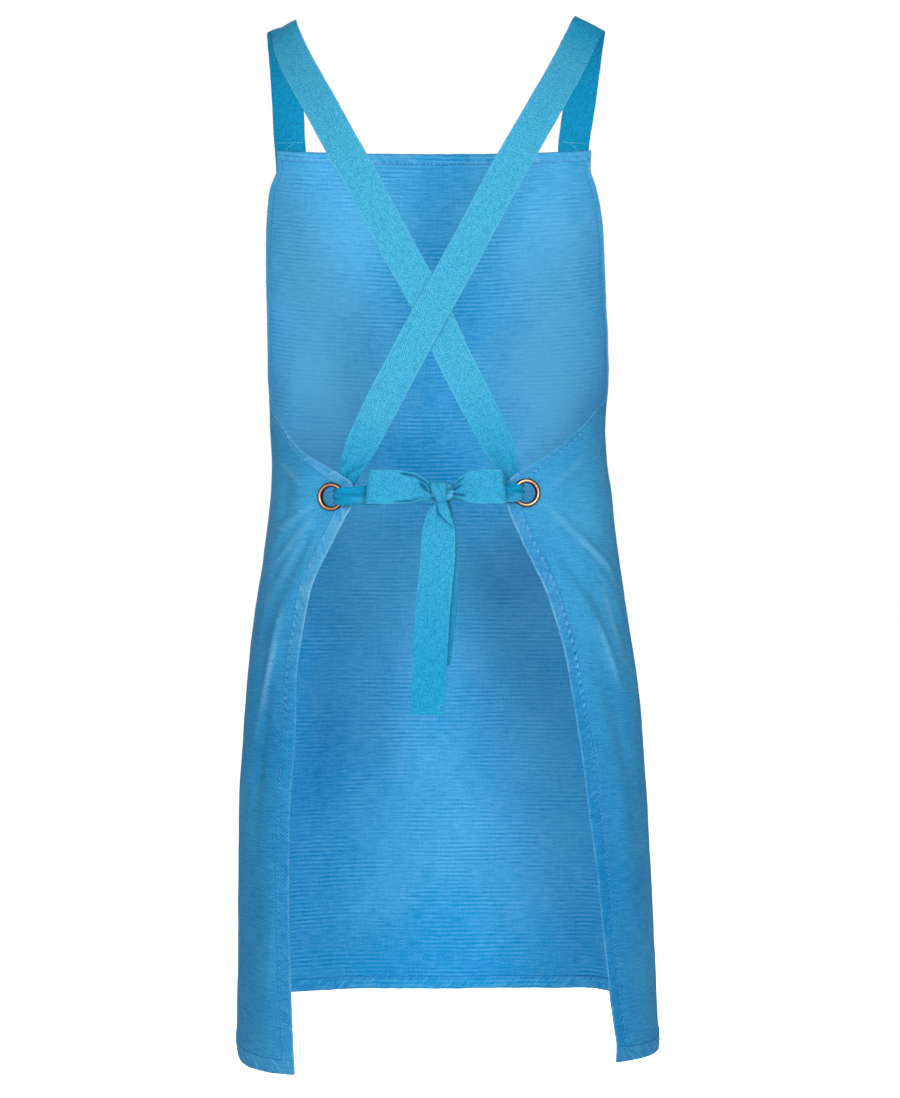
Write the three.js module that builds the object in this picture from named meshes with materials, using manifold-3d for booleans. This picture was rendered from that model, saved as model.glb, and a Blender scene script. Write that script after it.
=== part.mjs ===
// Cross back apron as it hangs when worn: one cloth sheet that wraps round the front of the body, two tapes
// that run over the shoulders, cross at the back, pass through an eyelet in each flap corner and tie in a bow.
// Millimetres, +Z up. The wearer faces -Y, so +X is the wearer's left. The origin is midway between the two
// places where the tapes lie on the shoulders.
import * as THREE from "three";
import { mergeVertices } from "three/addons/utils/BufferGeometryUtils.js";
import Module from "manifold-3d";

// ---------- driving dimensions ----------
const CLOTH = 1.2; // wall of the single cloth
const HEM_EXTRA = 1.0; // what a turned hem adds on the inside
const HEM = { side: 13, top: 12, bottom: 12, step: 0.8 };
const TAPE = { width: 30, thick: 1.2, sewn: 28, lift: 2.0 };
const TOP_Z = -95.7; // top edge of the bib
const HANG_Z = -450; // below this the sheet stretches down to its own hem line
const NOMINAL_HEM_Z = -905;
const FRONT_POWER = 2.2; // roundness of the front half of every section
const EYELET = {
  left: { x: 91.7, z: -430.6 },
  right: { x: -77.2, z: -427.4 },
  flat: 24, // the cloth lies in one plane this far round the centre
  fade: 48, // and follows the body again beyond this
  clear: 9.7, // radius of the hole in the cloth
};

// ---------- tables ----------
// The round form that the sheet is wrapped on, one row a section.
const FORM = table(
  "z wide_left wide_right front_y side_y back_y back_power",
  `-90 197 185 -109 -66 40 2.8
   -112 187 177 -113 -50 60 2.8
   -135 187.5 177.5 -116 -36 80 2.8
   -165 181.5 175.8 -120 -20 95 2.8
   -195 175 171.8 -124 -7 102 2.8
   -224 169.5 167.5 -126 1 105 2.8
   -254 164.4 163.4 -127 4 106 2.8
   -283 159.7 160.7 -127 5 106 2.8
   -312 156 157.8 -125 6 105 2.8
   -340 151.4 153.1 -123 5 104 2.8
   -367 151 151.5 -121 3 103 2.8
   -395 149.3 153 -119 1 103 2.8
   -422 150.2 157 -118 -1 103 2.8
   -449 153 160.3 -118 -2 103 2.8
   -477 156.6 164 -119 -3 102 2.8
   -532 164 172 -122 -6 100 2.7
   -587 171.3 180.4 -126 -9 98 2.6
   -642 175.8 186.8 -129 -12 97 2.5
   -697 179.5 190.5 -132 -14 97 2.5
   -807 182.3 196 -137 -18 97 2.5
   -917 183.2 201.5 -140 -20 97 2.5
   -950 183.5 202.5 -140.5 -20 97 2.5`,
);
// The cut of the sheet: how far it reaches to each side, measured round the form from the centre front.
const CUT = table(
  "z left right",
  `-90 155 149
   -112 155.5 149.5
   -135 164.5 158
   -165 171.7 168.3
   -195 179.5 177
   -224 186.8 185.1
   -254 193.5 194
   -283 200 203
   -312 209.5 215
   -332 230 238
   -345 248 262
   -352 262 279
   -363 280 291
   -377 292 311
   -390 305 329
   -404 329 355
   -413 345.5 371.5
   -420.5 354.6 379.6
   -437.5 356.4 382.2
   -449 352.6 380.6
   -470 346 375.8
   -521 335 364
   -560 337 362
   -600 341 364
   -700 350 366
   -780 355 364
   -863 361 364
   -945 366.5 357`,
);
// Where the bottom hem hangs, by the share of the way from the centre front to each free edge.
const HEM_LINE = table(
  "share left_z right_z",
  `0 -905 -905
   0.3 -903 -902
   0.44 -900.5 -897.5
   0.56 -906 -902
   0.7 -928 -919
   0.82 -938.5 -930
   1 -936.5 -927`,
);
// Soft folds: ridges (+) and dips (-) along a line in X and Z, on the back or the front of the sheet.
const FOLDS = table(
  "half x1 z1 x2 z2 width height",
  `1 104 -446 156 -472 8 2.6
   1 108 -462 160 -520 11 -2.4
   1 104 -470 166 -600 12 2.6
   1 150 -520 168 -720 10 -2.4
   1 140 -640 150 -900 12 2.0
   1 -88 -444 -146 -492 8 3.0
   1 -96 -470 -158 -540 9 -3.0
   1 -104 -486 -168 -590 11 3.2
   1 -140 -560 -172 -680 9 -2.6
   1 -146 -600 -176 -800 12 2.4
   -1 -70 -470 -96 -880 26 3.5
   -1 -8 -500 -4 -890 24 -3.0
   -1 74 -470 92 -880 26 3.5
   -1 128 -520 146 -880 18 -3.0
   -1 -132 -520 -150 -880 18 -3.0`,
);
// Tape routes from the bib over the shoulder to the knot. a* is the direction across the tape, w its width
// and t its thickness, which grows where the tape is gathered to pass its eyelet.
const ROUTE = "x y z ax ay az w t";
const STRAP_LEFT = table(
  ROUTE,
  `141.2 -97.0 -84 0.975 0.22 0 30 1.2
   141.6 -93.2 -70 0.985 0.15 0 30 1.2
   141.9 -84.5 -52 1 0.05 0 30 1.2
   142.1 -68 -32 1 -0.08 -0.05 30 1.2
   142.2 -45 -14 0.94 -0.28 -0.15 30 1.2
   142 -21 -3.4 0.85 -0.45 -0.18 29 1.2
   140.6 0 0.2 0.76 -0.57 -0.22 26.5 1.2
   137.6 16 -9 0.78 -0.45 -0.36 28.5 1.2
   132.6 31 -25 0.82 -0.28 -0.47 30 1.2
   120.6 55 -52.5 0.85 -0.14 -0.49 30 1.2
   103.2 78 -86 0.86 -0.08 -0.49 30 1.2
   83.3 94 -124 0.87 -0.05 -0.49 30 1.2
   65.2 101 -157 0.88 -0.04 -0.48 30 1.2
   46.6 104.5 -192 0.88 -0.02 -0.48 30 1.2
   28 105 -227 0.88 0 -0.47 30 1.2
   4.3 103.6 -270 0.88 0 -0.46 30 1.2
   -15.6 100 -312.6 0.89 0 -0.45 30 1.2
   -33.3 96.5 -347 0.89 0 -0.45 30 1.2
   -50.7 93.5 -381.4 0.88 0 -0.46 28 1.5
   -58.6 92 -398.7 0.86 0.02 -0.5 24 1.9
   -63.4 91.4 -410 0.78 0.05 -0.62 18 2.6
   -67.6 92.6 -419.4 0.5 0.05 -0.86 14 2.6
   -71.6 93.6 -425.6 0.1 0 -1 12 2.6
   -74.2 97 -427.3 0 0 -1 12 2.6
   -74.7 100.1 -427.4 0 0 -1 12 2.6
   -71.8 104.2 -427.4 0 0 -1 14 2.6
   -66 106.1 -427.4 0 0 -1 16 2.6
   -56 106.8 -427.4 0 0 -1 17 2.4
   -40 107 -427.4 0 0 -1 17 2.4
   -26 107.4 -427.7 0 0 -1 15 2.4
   -16 107.6 -428 0 0 -1 12 2.4`,
);
const STRAP_RIGHT = table(
  ROUTE,
  `-131.4 -97.0 -84 0.975 -0.22 0 30 1.2
   -133.4 -93.2 -69 0.985 -0.15 0.06 30 1.2
   -136 -84.5 -50 1 -0.05 0.1 30 1.2
   -138 -68 -29 1 0.08 0.12 30 1.2
   -139.4 -45 -10 0.96 0.16 0.22 30 1.2
   -139.9 -21 0.4 0.92 0.24 0.3 30 1.2
   -139.4 0 2.6 0.89 0.3 0.36 30 1.2
   -134.6 15 -6 0.87 0.24 0.43 30 1.2
   -127 30 -23 0.86 0.16 0.48 30 1.2
   -113.4 55 -52.5 0.86 0.1 0.49 30 1.2
   -95.8 78 -86 0.87 0.06 0.49 30 1.2
   -75 94 -124 0.87 0.04 0.48 30 1.2
   -56.6 101.4 -157 0.88 0.03 0.48 30 1.2
   -38.4 106.2 -192 0.88 0.01 0.48 30 1.2
   -19.8 107.4 -227 0.88 0 0.48 30 1.2
   3.4 106.4 -268.4 0.88 0 0.47 30 1.2
   27.6 102 -312.7 0.89 0 0.46 30 1.2
   45.9 97 -347 0.89 0 0.46 30 1.2
   63.3 93.5 -381.4 0.88 0 0.46 28 1.5
   71.6 92 -398.7 0.88 0.02 0.44 24 1.9
   76 90.6 -410.5 0.85 0.05 0.5 18 2.6
   81.2 89 -422.5 0.5 0.05 0.8 14 2.6
   85.6 89.4 -429 0.1 0 1 12 2.6
   88.6 92.6 -430.5 0 0 1 12 2.6
   89.4 96 -430.6 0 0 1 12 2.6
   86.8 100.2 -430.6 0 0 1 14 2.6
   81.3 102.7 -430.6 0 0 1 16 2.6
   73 103.9 -430.4 0 0 1 16 2.6
   60 105 -429.8 0 0 1 17 2.4
   40 106 -429 0 0 1 17 2.4
   18 107.2 -428.3 0 0 1 15 2.4
   6 107.6 -428 0 0 1 12 2.4`,
);
const LOOP_LEFT = table(
  ROUTE,
  `6 111.6 -427.4 0 0 1 12 2.2
   8.5 111.5 -427.1 0 0 1 15 2.2
   14 111 -425.4 0 0 1 21 1.8
   22 110.6 -423.6 0 0 1 28 1.2
   36 110.6 -422.9 0 0 1 30 1.2
   50 110.9 -422.8 0 0 1 30 1.2
   57.6 111.9 -422.8 0 0 1 30 1.2
   60.2 114.4 -422.8 0 0 1 30 1.2
   57.6 117.1 -422.8 0 0 1 30 1.2
   50 118.4 -422.9 0 0 1 30 1.2
   36 119.3 -423 0 0 1 30 1.2
   22 119.4 -423.6 0 0 1 28.5 1.2
   14 118.4 -425.4 0 0 1 22 1.8
   8.5 116.6 -427 0 0 1 16 2.2
   6 116 -427.4 0 0 1 13 2.2`,
);
const LOOP_RIGHT = table(
  ROUTE,
  `-16 111.6 -427.4 0 0 -1 12 2.2
   -18.5 111.5 -427.1 0 0 -1 15 2.2
   -23 111 -425.5 0 0 -1 21 1.8
   -30 110.6 -423.6 0 0 -1 28 1.2
   -40 110.6 -422.7 0 0 -1 30 1.2
   -50 110.9 -422.5 0 0 -1 30 1.2
   -56 111.9 -422.5 0 0 -1 30 1.2
   -58.2 114.4 -422.5 0 0 -1 30 1.2
   -56 117.1 -422.5 0 0 -1 30 1.2
   -50 118.4 -422.5 0 0 -1 30 1.2
   -40 119.4 -422.6 0 0 -1 30 1.2
   -30 119.6 -423.6 0 0 -1 28.5 1.2
   -23 118.6 -425.4 0 0 -1 22 1.8
   -18.5 116.6 -427 0 0 -1 16 2.2
   -16 116 -427.4 0 0 -1 13 2.2`,
);
const TAIL_FRONT = table(
  ROUTE,
  `-3.3 115.8 -438.2 1 0 0 12.5 2.2
   -2.9 116.2 -440.5 1 0 0 15.5 2
   -1.8 116.7 -447 1 0 0 21 1.5
   -1.4 117 -456 1 0 0 26.5 1.2
   -0.5 117 -485 1 0 0 30 1.2
   3 116.8 -520 1 0.05 0 30 1.2
   5.1 116.6 -554 1 0.05 0 29.6 1.2
   6.4 116.4 -580 1 0.05 0 29.6 1.2
   7.5 116.2 -605 1 0 0 29.2 1.2
   7.8 116.2 -618 1 0 0 29 1.2`,
);
const TAIL_BACK = table(
  ROUTE,
  `-6.2 111.9 -438.2 1 0 0 11 2.2
   -6 112.1 -440.5 1 0 0 13.5 2
   -5.4 112.5 -447 1 0 0 18 1.5
   -4.4 112.9 -458 1 0 0 23.5 1.2
   -3.3 113.2 -485 1 0 0 30 1.2
   -2.8 113.2 -519 1 0.05 0 30 1.2
   -0.3 113.1 -545 1 0.05 0 30 1.2
   3.6 113 -574 1 0 0 30 1.2`,
);
// The knot, section by section along X: half height, half depth, and the height of its middle.
const KNOT = table(
  "x half_height half_depth z",
  `-14.8 5.4 4.6 -427.6
   -12.5 7.6 6.2 -427.8
   -9 8.6 7 -428.2
   -5 8.9 7.4 -428.4
   -1 8.5 7.1 -428.3
   2.6 7.4 6.2 -428
   4.8 5.4 4.6 -427.6`,
);
const KNOT_Y = 113.4;
// The eyelet's turned profile: radius and height above the middle of the cloth.
const EYELET_PROFILE = table(
  "r h",
  `8.6 1.2
   9.1 2.2
   10.0 2.85
   11.2 2.8
   12.2 2.1
   12.6 1.0
   9.4 0.95
   9.4 -1.95
   12.1 -1.95
   12.1 -2.5
   9.6 -2.8
   8.6 -2.4`,
);

// ---------- small tools ----------
function table(columns, rows) {
  const names = columns.split(" ");
  return rows
    .trim()
    .split("\n")
    .map((line) => {
      const cells = line.trim().split(/\s+/).map(Number);
      return Object.fromEntries(names.map((n, i) => [n, cells[i]]));
    });
}
// A monotone cubic through one column of a table.
function smooth(rows, key, column, sign = 1) {
  const x = rows.map((r) => sign * r[key]);
  const y = rows.map((r) => r[column]);
  const h = x.slice(1).map((v, i) => v - x[i]);
  const d = h.map((v, i) => (y[i + 1] - y[i]) / v);
  const end = (h0, h1, d0, d1) => {
    const s = ((2 * h0 + h1) * d0 - h0 * d1) / (h0 + h1);
    if (s * d0 <= 0) return 0;
    return d0 * d1 <= 0 && Math.abs(s) > 3 * Math.abs(d0) ? 3 * d0 : s;
  };
  const n = x.length;
  const m = y.map((_, i) => {
    if (i === 0) return end(h[0], h[1], d[0], d[1]);
    if (i === n - 1) return end(h[n - 2], h[n - 3], d[n - 2], d[n - 3]);
    if (d[i - 1] * d[i] <= 0) return 0;
    const w1 = 2 * h[i] + h[i - 1];
    const w2 = h[i] + 2 * h[i - 1];
    return (w1 + w2) / (w1 / d[i - 1] + w2 / d[i]);
  });
  return (at) => {
    const q = Math.min(Math.max(sign * at, x[0]), x[n - 1]);
    let i = 0;
    while (i < n - 2 && q > x[i + 1]) i++;
    const t = (q - x[i]) / h[i];
    const u = 1 - t;
    return (
      y[i] * u * u * (1 + 2 * t) +
      y[i + 1] * t * t * (3 - 2 * t) +
      h[i] * t * u * (m[i] * u - m[i + 1] * t)
    );
  };
}
const fade = (d, from, to) => {
  const t = Math.min(Math.max((d - from) / (to - from), 0), 1);
  return 1 - t * t * (3 - 2 * t);
};

// ---------- the sheet's surface ----------
const form = Object.fromEntries(
  Object.keys(FORM[0])
    .slice(1)
    .map((c) => [c, smooth(FORM, "z", c, -1)]),
);
const cut = {
  left: smooth(CUT, "z", "left", -1),
  right: smooth(CUT, "z", "right", -1),
};
const hemLine = {
  left: smooth(HEM_LINE, "share", "left_z"),
  right: smooth(HEM_LINE, "share", "right_z"),
};
// The point of the form's section at height z, reach mm round it from the centre front (+ is the wearer's left).
function onForm(z, reach) {
  const wide = reach >= 0 ? form.wide_left(z) : form.wide_right(z);
  const [front, side, back] = [form.front_y(z), form.side_y(z), form.back_y(z)];
  const power = form.back_power(z);
  const at = (deg) => {
    const a = (deg * Math.PI) / 180;
    const [s, c] = [Math.sin(a), Math.cos(a)];
    const p = c >= 0 ? FRONT_POWER : power;
    const depth = c >= 0 ? front - side : back - side;
    return [wide * s ** (2 / p), side + depth * Math.abs(c) ** (2 / p)];
  };
  let [x, y] = at(0);
  let gone = 0;
  for (let deg = 1; deg <= 179; deg++) {
    const [x2, y2] = at(deg);
    const step = Math.hypot(x2 - x, y2 - y);
    if (gone + step >= Math.abs(reach) || deg === 179) {
      const t = (Math.abs(reach) - gone) / step;
      const sign = reach < 0 ? -1 : 1;
      const p = new THREE.Vector3(sign * (x + (x2 - x) * t), y + (y2 - y) * t, z);
      // horizontal direction out of the body
      p.out = new THREE.Vector2((sign * (y2 - y)) / step, -(x2 - x) / step);
      return p;
    }
    gone += step;
    [x, y] = [x2, y2];
  }
}
function foldHeight(p) {
  let sum = 0;
  for (const f of FOLDS) {
    if ((p.y > form.side_y(p.z)) !== f.half > 0) continue;
    const [dx, dz] = [f.x2 - f.x1, f.z2 - f.z1];
    const t = ((p.x - f.x1) * dx + (p.z - f.z1) * dz) / (dx * dx + dz * dz);
    const c = Math.min(Math.max(t, 0), 1);
    const d = Math.hypot(p.x - f.x1 - dx * c, p.z - f.z1 - dz * c);
    sum += f.height * Math.exp(-((d / f.width) ** 2)) * Math.sin(Math.PI * (0.12 + 0.76 * c)) ** 0.7;
  }
  return sum;
}
function reachAtX(z, x) {
  let [lo, hi] = [0, Math.sign(x)];
  hi *= x > 0 ? cut.left(z) : cut.right(z);
  lo = 0.6 * hi;
  for (let i = 0; i < 40; i++) {
    const mid = (lo + hi) / 2;
    if (Math.abs(onForm(z, mid).x) > Math.abs(x)) lo = mid;
    else hi = mid;
  }
  return (lo + hi) / 2;
}
for (const e of [EYELET.left, EYELET.right]) {
  const reach = reachAtX(e.z, e.x);
  const a = onForm(e.z, reach - 6);
  const b = onForm(e.z, reach + 6);
  e.at = onForm(e.z, reach);
  e.normal = new THREE.Vector3(b.y - a.y, a.x - b.x, 0).normalize();
  if (e.normal.y < 0) e.normal.negate();
}
function sheetPoint(z, reach) {
  const p = onForm(z, reach);
  const lift = foldHeight(p);
  p.x += p.out.x * lift;
  p.y += p.out.y * lift;
  for (const e of [EYELET.left, EYELET.right]) {
    if (p.y < 40) continue;
    const rel = p.clone().sub(e.at);
    const off = rel.dot(e.normal);
    const w = fade(rel.addScaledVector(e.normal, -off).length(), EYELET.flat, EYELET.fade);
    p.addScaledVector(e.normal, -off * w);
  }
  return p;
}

// ---------- the sheet as a closed wall ----------
const COLUMNS = 36; // between the two side hems
function reaches(z) {
  const slope = (f) => Math.hypot(1, (f(z - 2) - f(z + 2)) / 4);
  const [l, r] = [cut.left(z), cut.right(z)];
  const hl = HEM.side * Math.min(slope(cut.left), 2.2);
  const hr = HEM.side * Math.min(slope(cut.right), 2.2);
  const list = [-r, -r + hr - HEM.step];
  for (let i = 0; i <= COLUMNS; i++) list.push(-r + hr + ((l - hl + r - hr) * i) / COLUMNS);
  list.push(l - hl + HEM.step, l);
  return list;
}
function heights() {
  const list = [TOP_Z, TOP_Z - HEM.top + HEM.step];
  const spans = [
    [TOP_Z - HEM.top, -330, 8],
    [-330, -470, 11],
    [-470, NOMINAL_HEM_Z + HEM.bottom, 11],
  ];
  for (const [from, to, n] of spans)
    for (let i = 0; i < n; i++) list.push(from + ((to - from) * i) / n);
  list.push(NOMINAL_HEM_Z + HEM.bottom, NOMINAL_HEM_Z + HEM.bottom - HEM.step, NOMINAL_HEM_Z);
  return list;
}
function gridOf(rows) {
  return rows.map((z0) => {
    const width = reaches(z0);
    return width.map((reach, j) => {
      if (z0 >= HANG_Z) return sheetPoint(z0, reach);
      const side = reach >= 0 ? "left" : "right";
      const share = Math.min(Math.abs(reach) / cut[side](z0), 1);
      const z = HANG_Z + ((z0 - HANG_Z) * (hemLine[side](share) - HANG_Z)) / (NOMINAL_HEM_Z - HANG_Z);
      return sheetPoint(z, reaches(z)[j]);
    });
  });
}
function wall(grid, outer, inner) {
  const [R, C] = [grid.length, grid[0].length];
  const normal = (i, j) => {
    const down = grid[Math.min(i + 1, R - 1)][j].clone().sub(grid[Math.max(i - 1, 0)][j]);
    const along = grid[i][Math.min(j + 1, C - 1)].clone().sub(grid[i][Math.max(j - 1, 0)]);
    return down.cross(along).normalize();
  };
  const points = [];
  for (const side of [1, -1])
    for (let i = 0; i < R; i++)
      for (let j = 0; j < C; j++) {
        const d = side > 0 ? outer(i, j) : -inner(i, j);
        points.push(grid[i][j].clone().addScaledVector(normal(i, j), d));
      }
  const id = (s, i, j) => s * R * C + i * C + j;
  const faces = [];
  const quad = (a, b, c, d) => faces.push(a, b, c, a, c, d);
  for (let i = 0; i < R - 1; i++)
    for (let j = 0; j < C - 1; j++) {
      quad(id(0, i, j), id(0, i + 1, j), id(0, i + 1, j + 1), id(0, i, j + 1));
      quad(id(1, i, j), id(1, i, j + 1), id(1, i + 1, j + 1), id(1, i + 1, j));
    }
  for (let j = 0; j < C - 1; j++) {
    quad(id(0, 0, j), id(0, 0, j + 1), id(1, 0, j + 1), id(1, 0, j));
    quad(id(0, R - 1, j + 1), id(0, R - 1, j), id(1, R - 1, j), id(1, R - 1, j + 1));
  }
  for (let i = 0; i < R - 1; i++) {
    quad(id(0, i + 1, 0), id(0, i, 0), id(1, i, 0), id(1, i + 1, 0));
    quad(id(0, i, C - 1), id(0, i + 1, C - 1), id(1, i + 1, C - 1), id(1, i, C - 1));
  }
  return geometryOf(points, faces);
}
function geometryOf(points, faces) {
  let volume = 0;
  for (let k = 0; k < faces.length; k += 3) {
    const [a, b, c] = [points[faces[k]], points[faces[k + 1]], points[faces[k + 2]]];
    volume += a.dot(b.clone().cross(c));
  }
  const g = new THREE.BufferGeometry().setFromPoints(points);
  g.setIndex(volume < 0 ? faces.slice().reverse() : faces);
  return g;
}

// ---------- tapes ----------
// A tape is a run of flat sections; each has two edges and a middle that may stand proud.
function tapeSections(rows, stepsPerSpan) {
  const curve = new THREE.CatmullRomCurve3(
    rows.map((r) => new THREE.Vector3(r.x, r.y, r.z)),
    false,
    "centripetal",
  );
  const n = rows.length - 1;
  const list = [];
  for (let i = 0; i < n; i++)
    for (let k = 0; k < stepsPerSpan + (i === n - 1); k++) {
      const t = k / stepsPerSpan;
      const s = t * t * (3 - 2 * t);
      const [a, b] = [rows[i], rows[i + 1]];
      const mix = (c) => a[c] + (b[c] - a[c]) * (c === "w" || c === "t" ? s : t);
      const mid = curve.getPoint((i + t) / n);
      const along = curve.getTangent((i + t) / n);
      const across = new THREE.Vector3(mix("ax"), mix("ay"), mix("az"));
      across.addScaledVector(along, -across.dot(along)).normalize();
      const out = across.clone().cross(along).normalize();
      const half = mix("w") / 2;
      list.push({
        mids: [mid.clone().addScaledVector(across, -half), mid, mid.clone().addScaledVector(across, half)],
        out,
        thick: mix("t"),
      });
    }
  return list;
}
function tape(sections) {
  const points = [];
  for (const s of sections) {
    for (const m of s.mids) points.push(m.clone().addScaledVector(s.out, s.thick / 2));
    for (const m of [...s.mids].reverse()) points.push(m.clone().addScaledVector(s.out, -s.thick / 2));
  }
  return skin(points, 6);
}
// Joins rings of n points one after another and closes both ends.
function skin(points, n) {
  const rings = points.length / n;
  const faces = [];
  for (let i = 0; i < rings - 1; i++)
    for (let k = 0; k < n; k++) {
      const [a, b] = [i * n + k, i * n + ((k + 1) % n)];
      faces.push(a, a + n, b + n, a, b + n, b);
    }
  const last = (rings - 1) * n;
  if (n === 6) {
    faces.push(0, 1, 4, 0, 4, 5, 1, 2, 3, 1, 3, 4);
    faces.push(last, last + 4, last + 1, last, last + 5, last + 4);
    faces.push(last + 1, last + 3, last + 2, last + 1, last + 4, last + 3);
  } else
    for (let k = 1; k < n - 1; k++) faces.push(0, k, k + 1, last, last + k + 1, last + k);
  return geometryOf(points, faces);
}
// The sewn end: the tape lies on the outer face of the bib.
function sewnSections(x) {
  const list = [];
  for (let i = 0; i <= 3; i++) {
    const z = TOP_Z - TAPE.sewn + (TAPE.sewn * i) / 3;
    const centre = (Math.abs(x) + 4) * Math.sign(x);
    const outer = (reach) => {
      const p = sheetPoint(z, reach);
      const d = new THREE.Vector3(p.out.x, p.out.y, 0);
      return { p: p.clone().addScaledVector(d, TAPE.lift), d };
    };
    const three = [-1, 0, 1].map((k) => outer(centre + (k * TAPE.width) / 2));
    list.push({ mids: three.map((q) => q.p), out: three[1].d, thick: TAPE.thick });
  }
  return list;
}

// ---------- knot and eyelet ----------
function knot() {
  const points = [];
  const N = 14;
  for (const r of KNOT)
    for (let k = 0; k < N; k++) {
      const a = (2 * Math.PI * k) / N;
      const round = (v) => Math.sign(v) * Math.abs(v) ** 0.8;
      points.push(
        new THREE.Vector3(r.x, KNOT_Y + r.half_depth * round(Math.cos(a)), r.z + r.half_height * round(Math.sin(a))),
      );
    }
  return skin(points, N);
}
function eyelet() {
  const profile = [...EYELET_PROFILE, EYELET_PROFILE[0]].reverse().map((p) => new THREE.Vector2(p.r, p.h));
  const g = new THREE.LatheGeometry(profile, 20);
  return g;
}

// ---------- booleans ----------
const wasm = await Module();
wasm.setup();
function toSolid(geometry) {
  const g = geometry.clone();
  g.deleteAttribute("normal");
  g.deleteAttribute("uv");
  const m = mergeVertices(g, 1e-4);
  return new wasm.Manifold(
    new wasm.Mesh({
      numProp: 3,
      vertProperties: new Float32Array(m.attributes.position.array),
      triVerts: new Uint32Array(m.index.array),
    }),
  );
}
function toGeometry(solid) {
  const m = solid.getMesh();
  return new THREE.BufferGeometry()
    .setAttribute("position", new THREE.BufferAttribute(new Float32Array(m.vertProperties), 3))
    .setIndex(new THREE.BufferAttribute(new Uint32Array(m.triVerts), 1));
}
function drill(geometry, e) {
  const turn = new THREE.Quaternion().setFromUnitVectors(new THREE.Vector3(0, 1, 0), e.normal);
  const bit = new THREE.CylinderGeometry(EYELET.clear, EYELET.clear, 16, 32)
    .applyQuaternion(turn)
    .translate(e.at.x, e.at.y, e.at.z);
  return toGeometry(toSolid(geometry).subtract(toSolid(bit)));
}

// ---------- assembly ----------
const MATERIAL = {
  cloth: new THREE.MeshStandardMaterial({ color: 0x4a97cc, roughness: 0.92, side: THREE.DoubleSide }),
  tape: new THREE.MeshStandardMaterial({ color: 0x3fb1db, roughness: 0.85 }),
  copper: new THREE.MeshStandardMaterial({ color: 0xa0643c, roughness: 0.32, metalness: 1 }),
};
const apron = new THREE.Group();
function add(name, geometry, material) {
  const mesh = new THREE.Mesh(geometry, material);
  geometry.computeVertexNormals();
  mesh.name = name;
  apron.add(mesh);
  return mesh;
}

const rows = heights();
const grid = gridOf(rows);
const [R, C] = [grid.length, grid[0].length];
const inHem = (i, j) => i < 2 || i > R - 3 || j < 2 || j > C - 3;
let body = wall(
  grid,
  () => CLOTH / 2,
  (i, j) => CLOTH / 2 + (inHem(i, j) ? HEM_EXTRA : 0),
);
for (const e of [EYELET.left, EYELET.right]) body = drill(body, e);
add("apron_body", body, MATERIAL.cloth);

add("strap_left", tape([...sewnSections(137), ...tapeSections(STRAP_LEFT, 2)]), MATERIAL.tape);
add("strap_right", tape([...sewnSections(-127), ...tapeSections(STRAP_RIGHT, 2)]), MATERIAL.tape);
add("bow_loop_left", tape(tapeSections(LOOP_LEFT, 2)), MATERIAL.tape);
add("bow_loop_right", tape(tapeSections(LOOP_RIGHT, 2)), MATERIAL.tape);
add("bow_knot", knot(), MATERIAL.tape);
add("tie_tail_front", tape(tapeSections(TAIL_FRONT, 2)), MATERIAL.tape);
add("tie_tail_back", tape(tapeSections(TAIL_BACK, 2)), MATERIAL.tape);

for (const side of ["left", "right"]) {
  const e = EYELET[side];
  const ring = add(`eyelet_${side}`, eyelet(), MATERIAL.copper);
  ring.quaternion.setFromUnitVectors(new THREE.Vector3(0, 1, 0), e.normal);
  ring.position.copy(e.at);
}

export default apron;
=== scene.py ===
import math

import bpy
import numpy as np
from mathutils import Matrix, Vector


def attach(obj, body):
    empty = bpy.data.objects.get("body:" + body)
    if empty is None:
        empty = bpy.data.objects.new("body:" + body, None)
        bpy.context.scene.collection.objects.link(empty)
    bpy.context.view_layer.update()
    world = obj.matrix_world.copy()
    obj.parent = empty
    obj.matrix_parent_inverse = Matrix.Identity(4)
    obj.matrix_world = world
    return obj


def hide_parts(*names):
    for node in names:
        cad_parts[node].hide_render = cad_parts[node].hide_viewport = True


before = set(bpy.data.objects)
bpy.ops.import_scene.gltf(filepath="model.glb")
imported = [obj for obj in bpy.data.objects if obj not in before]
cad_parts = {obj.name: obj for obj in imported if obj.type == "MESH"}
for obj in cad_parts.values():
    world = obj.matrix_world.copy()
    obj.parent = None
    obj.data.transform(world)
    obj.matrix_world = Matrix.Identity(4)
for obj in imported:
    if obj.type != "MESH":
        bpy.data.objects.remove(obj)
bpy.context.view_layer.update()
scene = bpy.context.scene

# ---------------------------------------------------------------- driving dimensions
TOP_Z = -95.7
HANG_Z = -450.0
NOMINAL_HEM_Z = -905.0
FRONT_POWER = 2.2
TAPE_WIDTH = 30.0
TAPE_THICK = 1.0
SEWN = 28.0
CLOTH = 0.8  # wall of the single cloth
HEM_DEEP = 12.5  # depth of a turned hem
EYELETS = {
    "left": dict(x=91.7, z=-430.6),
    "right": dict(x=-77.2, z=-427.4),
}
EYE_FLAT, EYE_FADE, EYE_HOLE = 24.0, 48.0, 9.9


def table(columns, rows):
    names = columns.split()
    cells = np.array([[float(v) for v in line.split()] for line in rows.strip().splitlines()])
    return {n: cells[:, i] for i, n in enumerate(names)}


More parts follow.
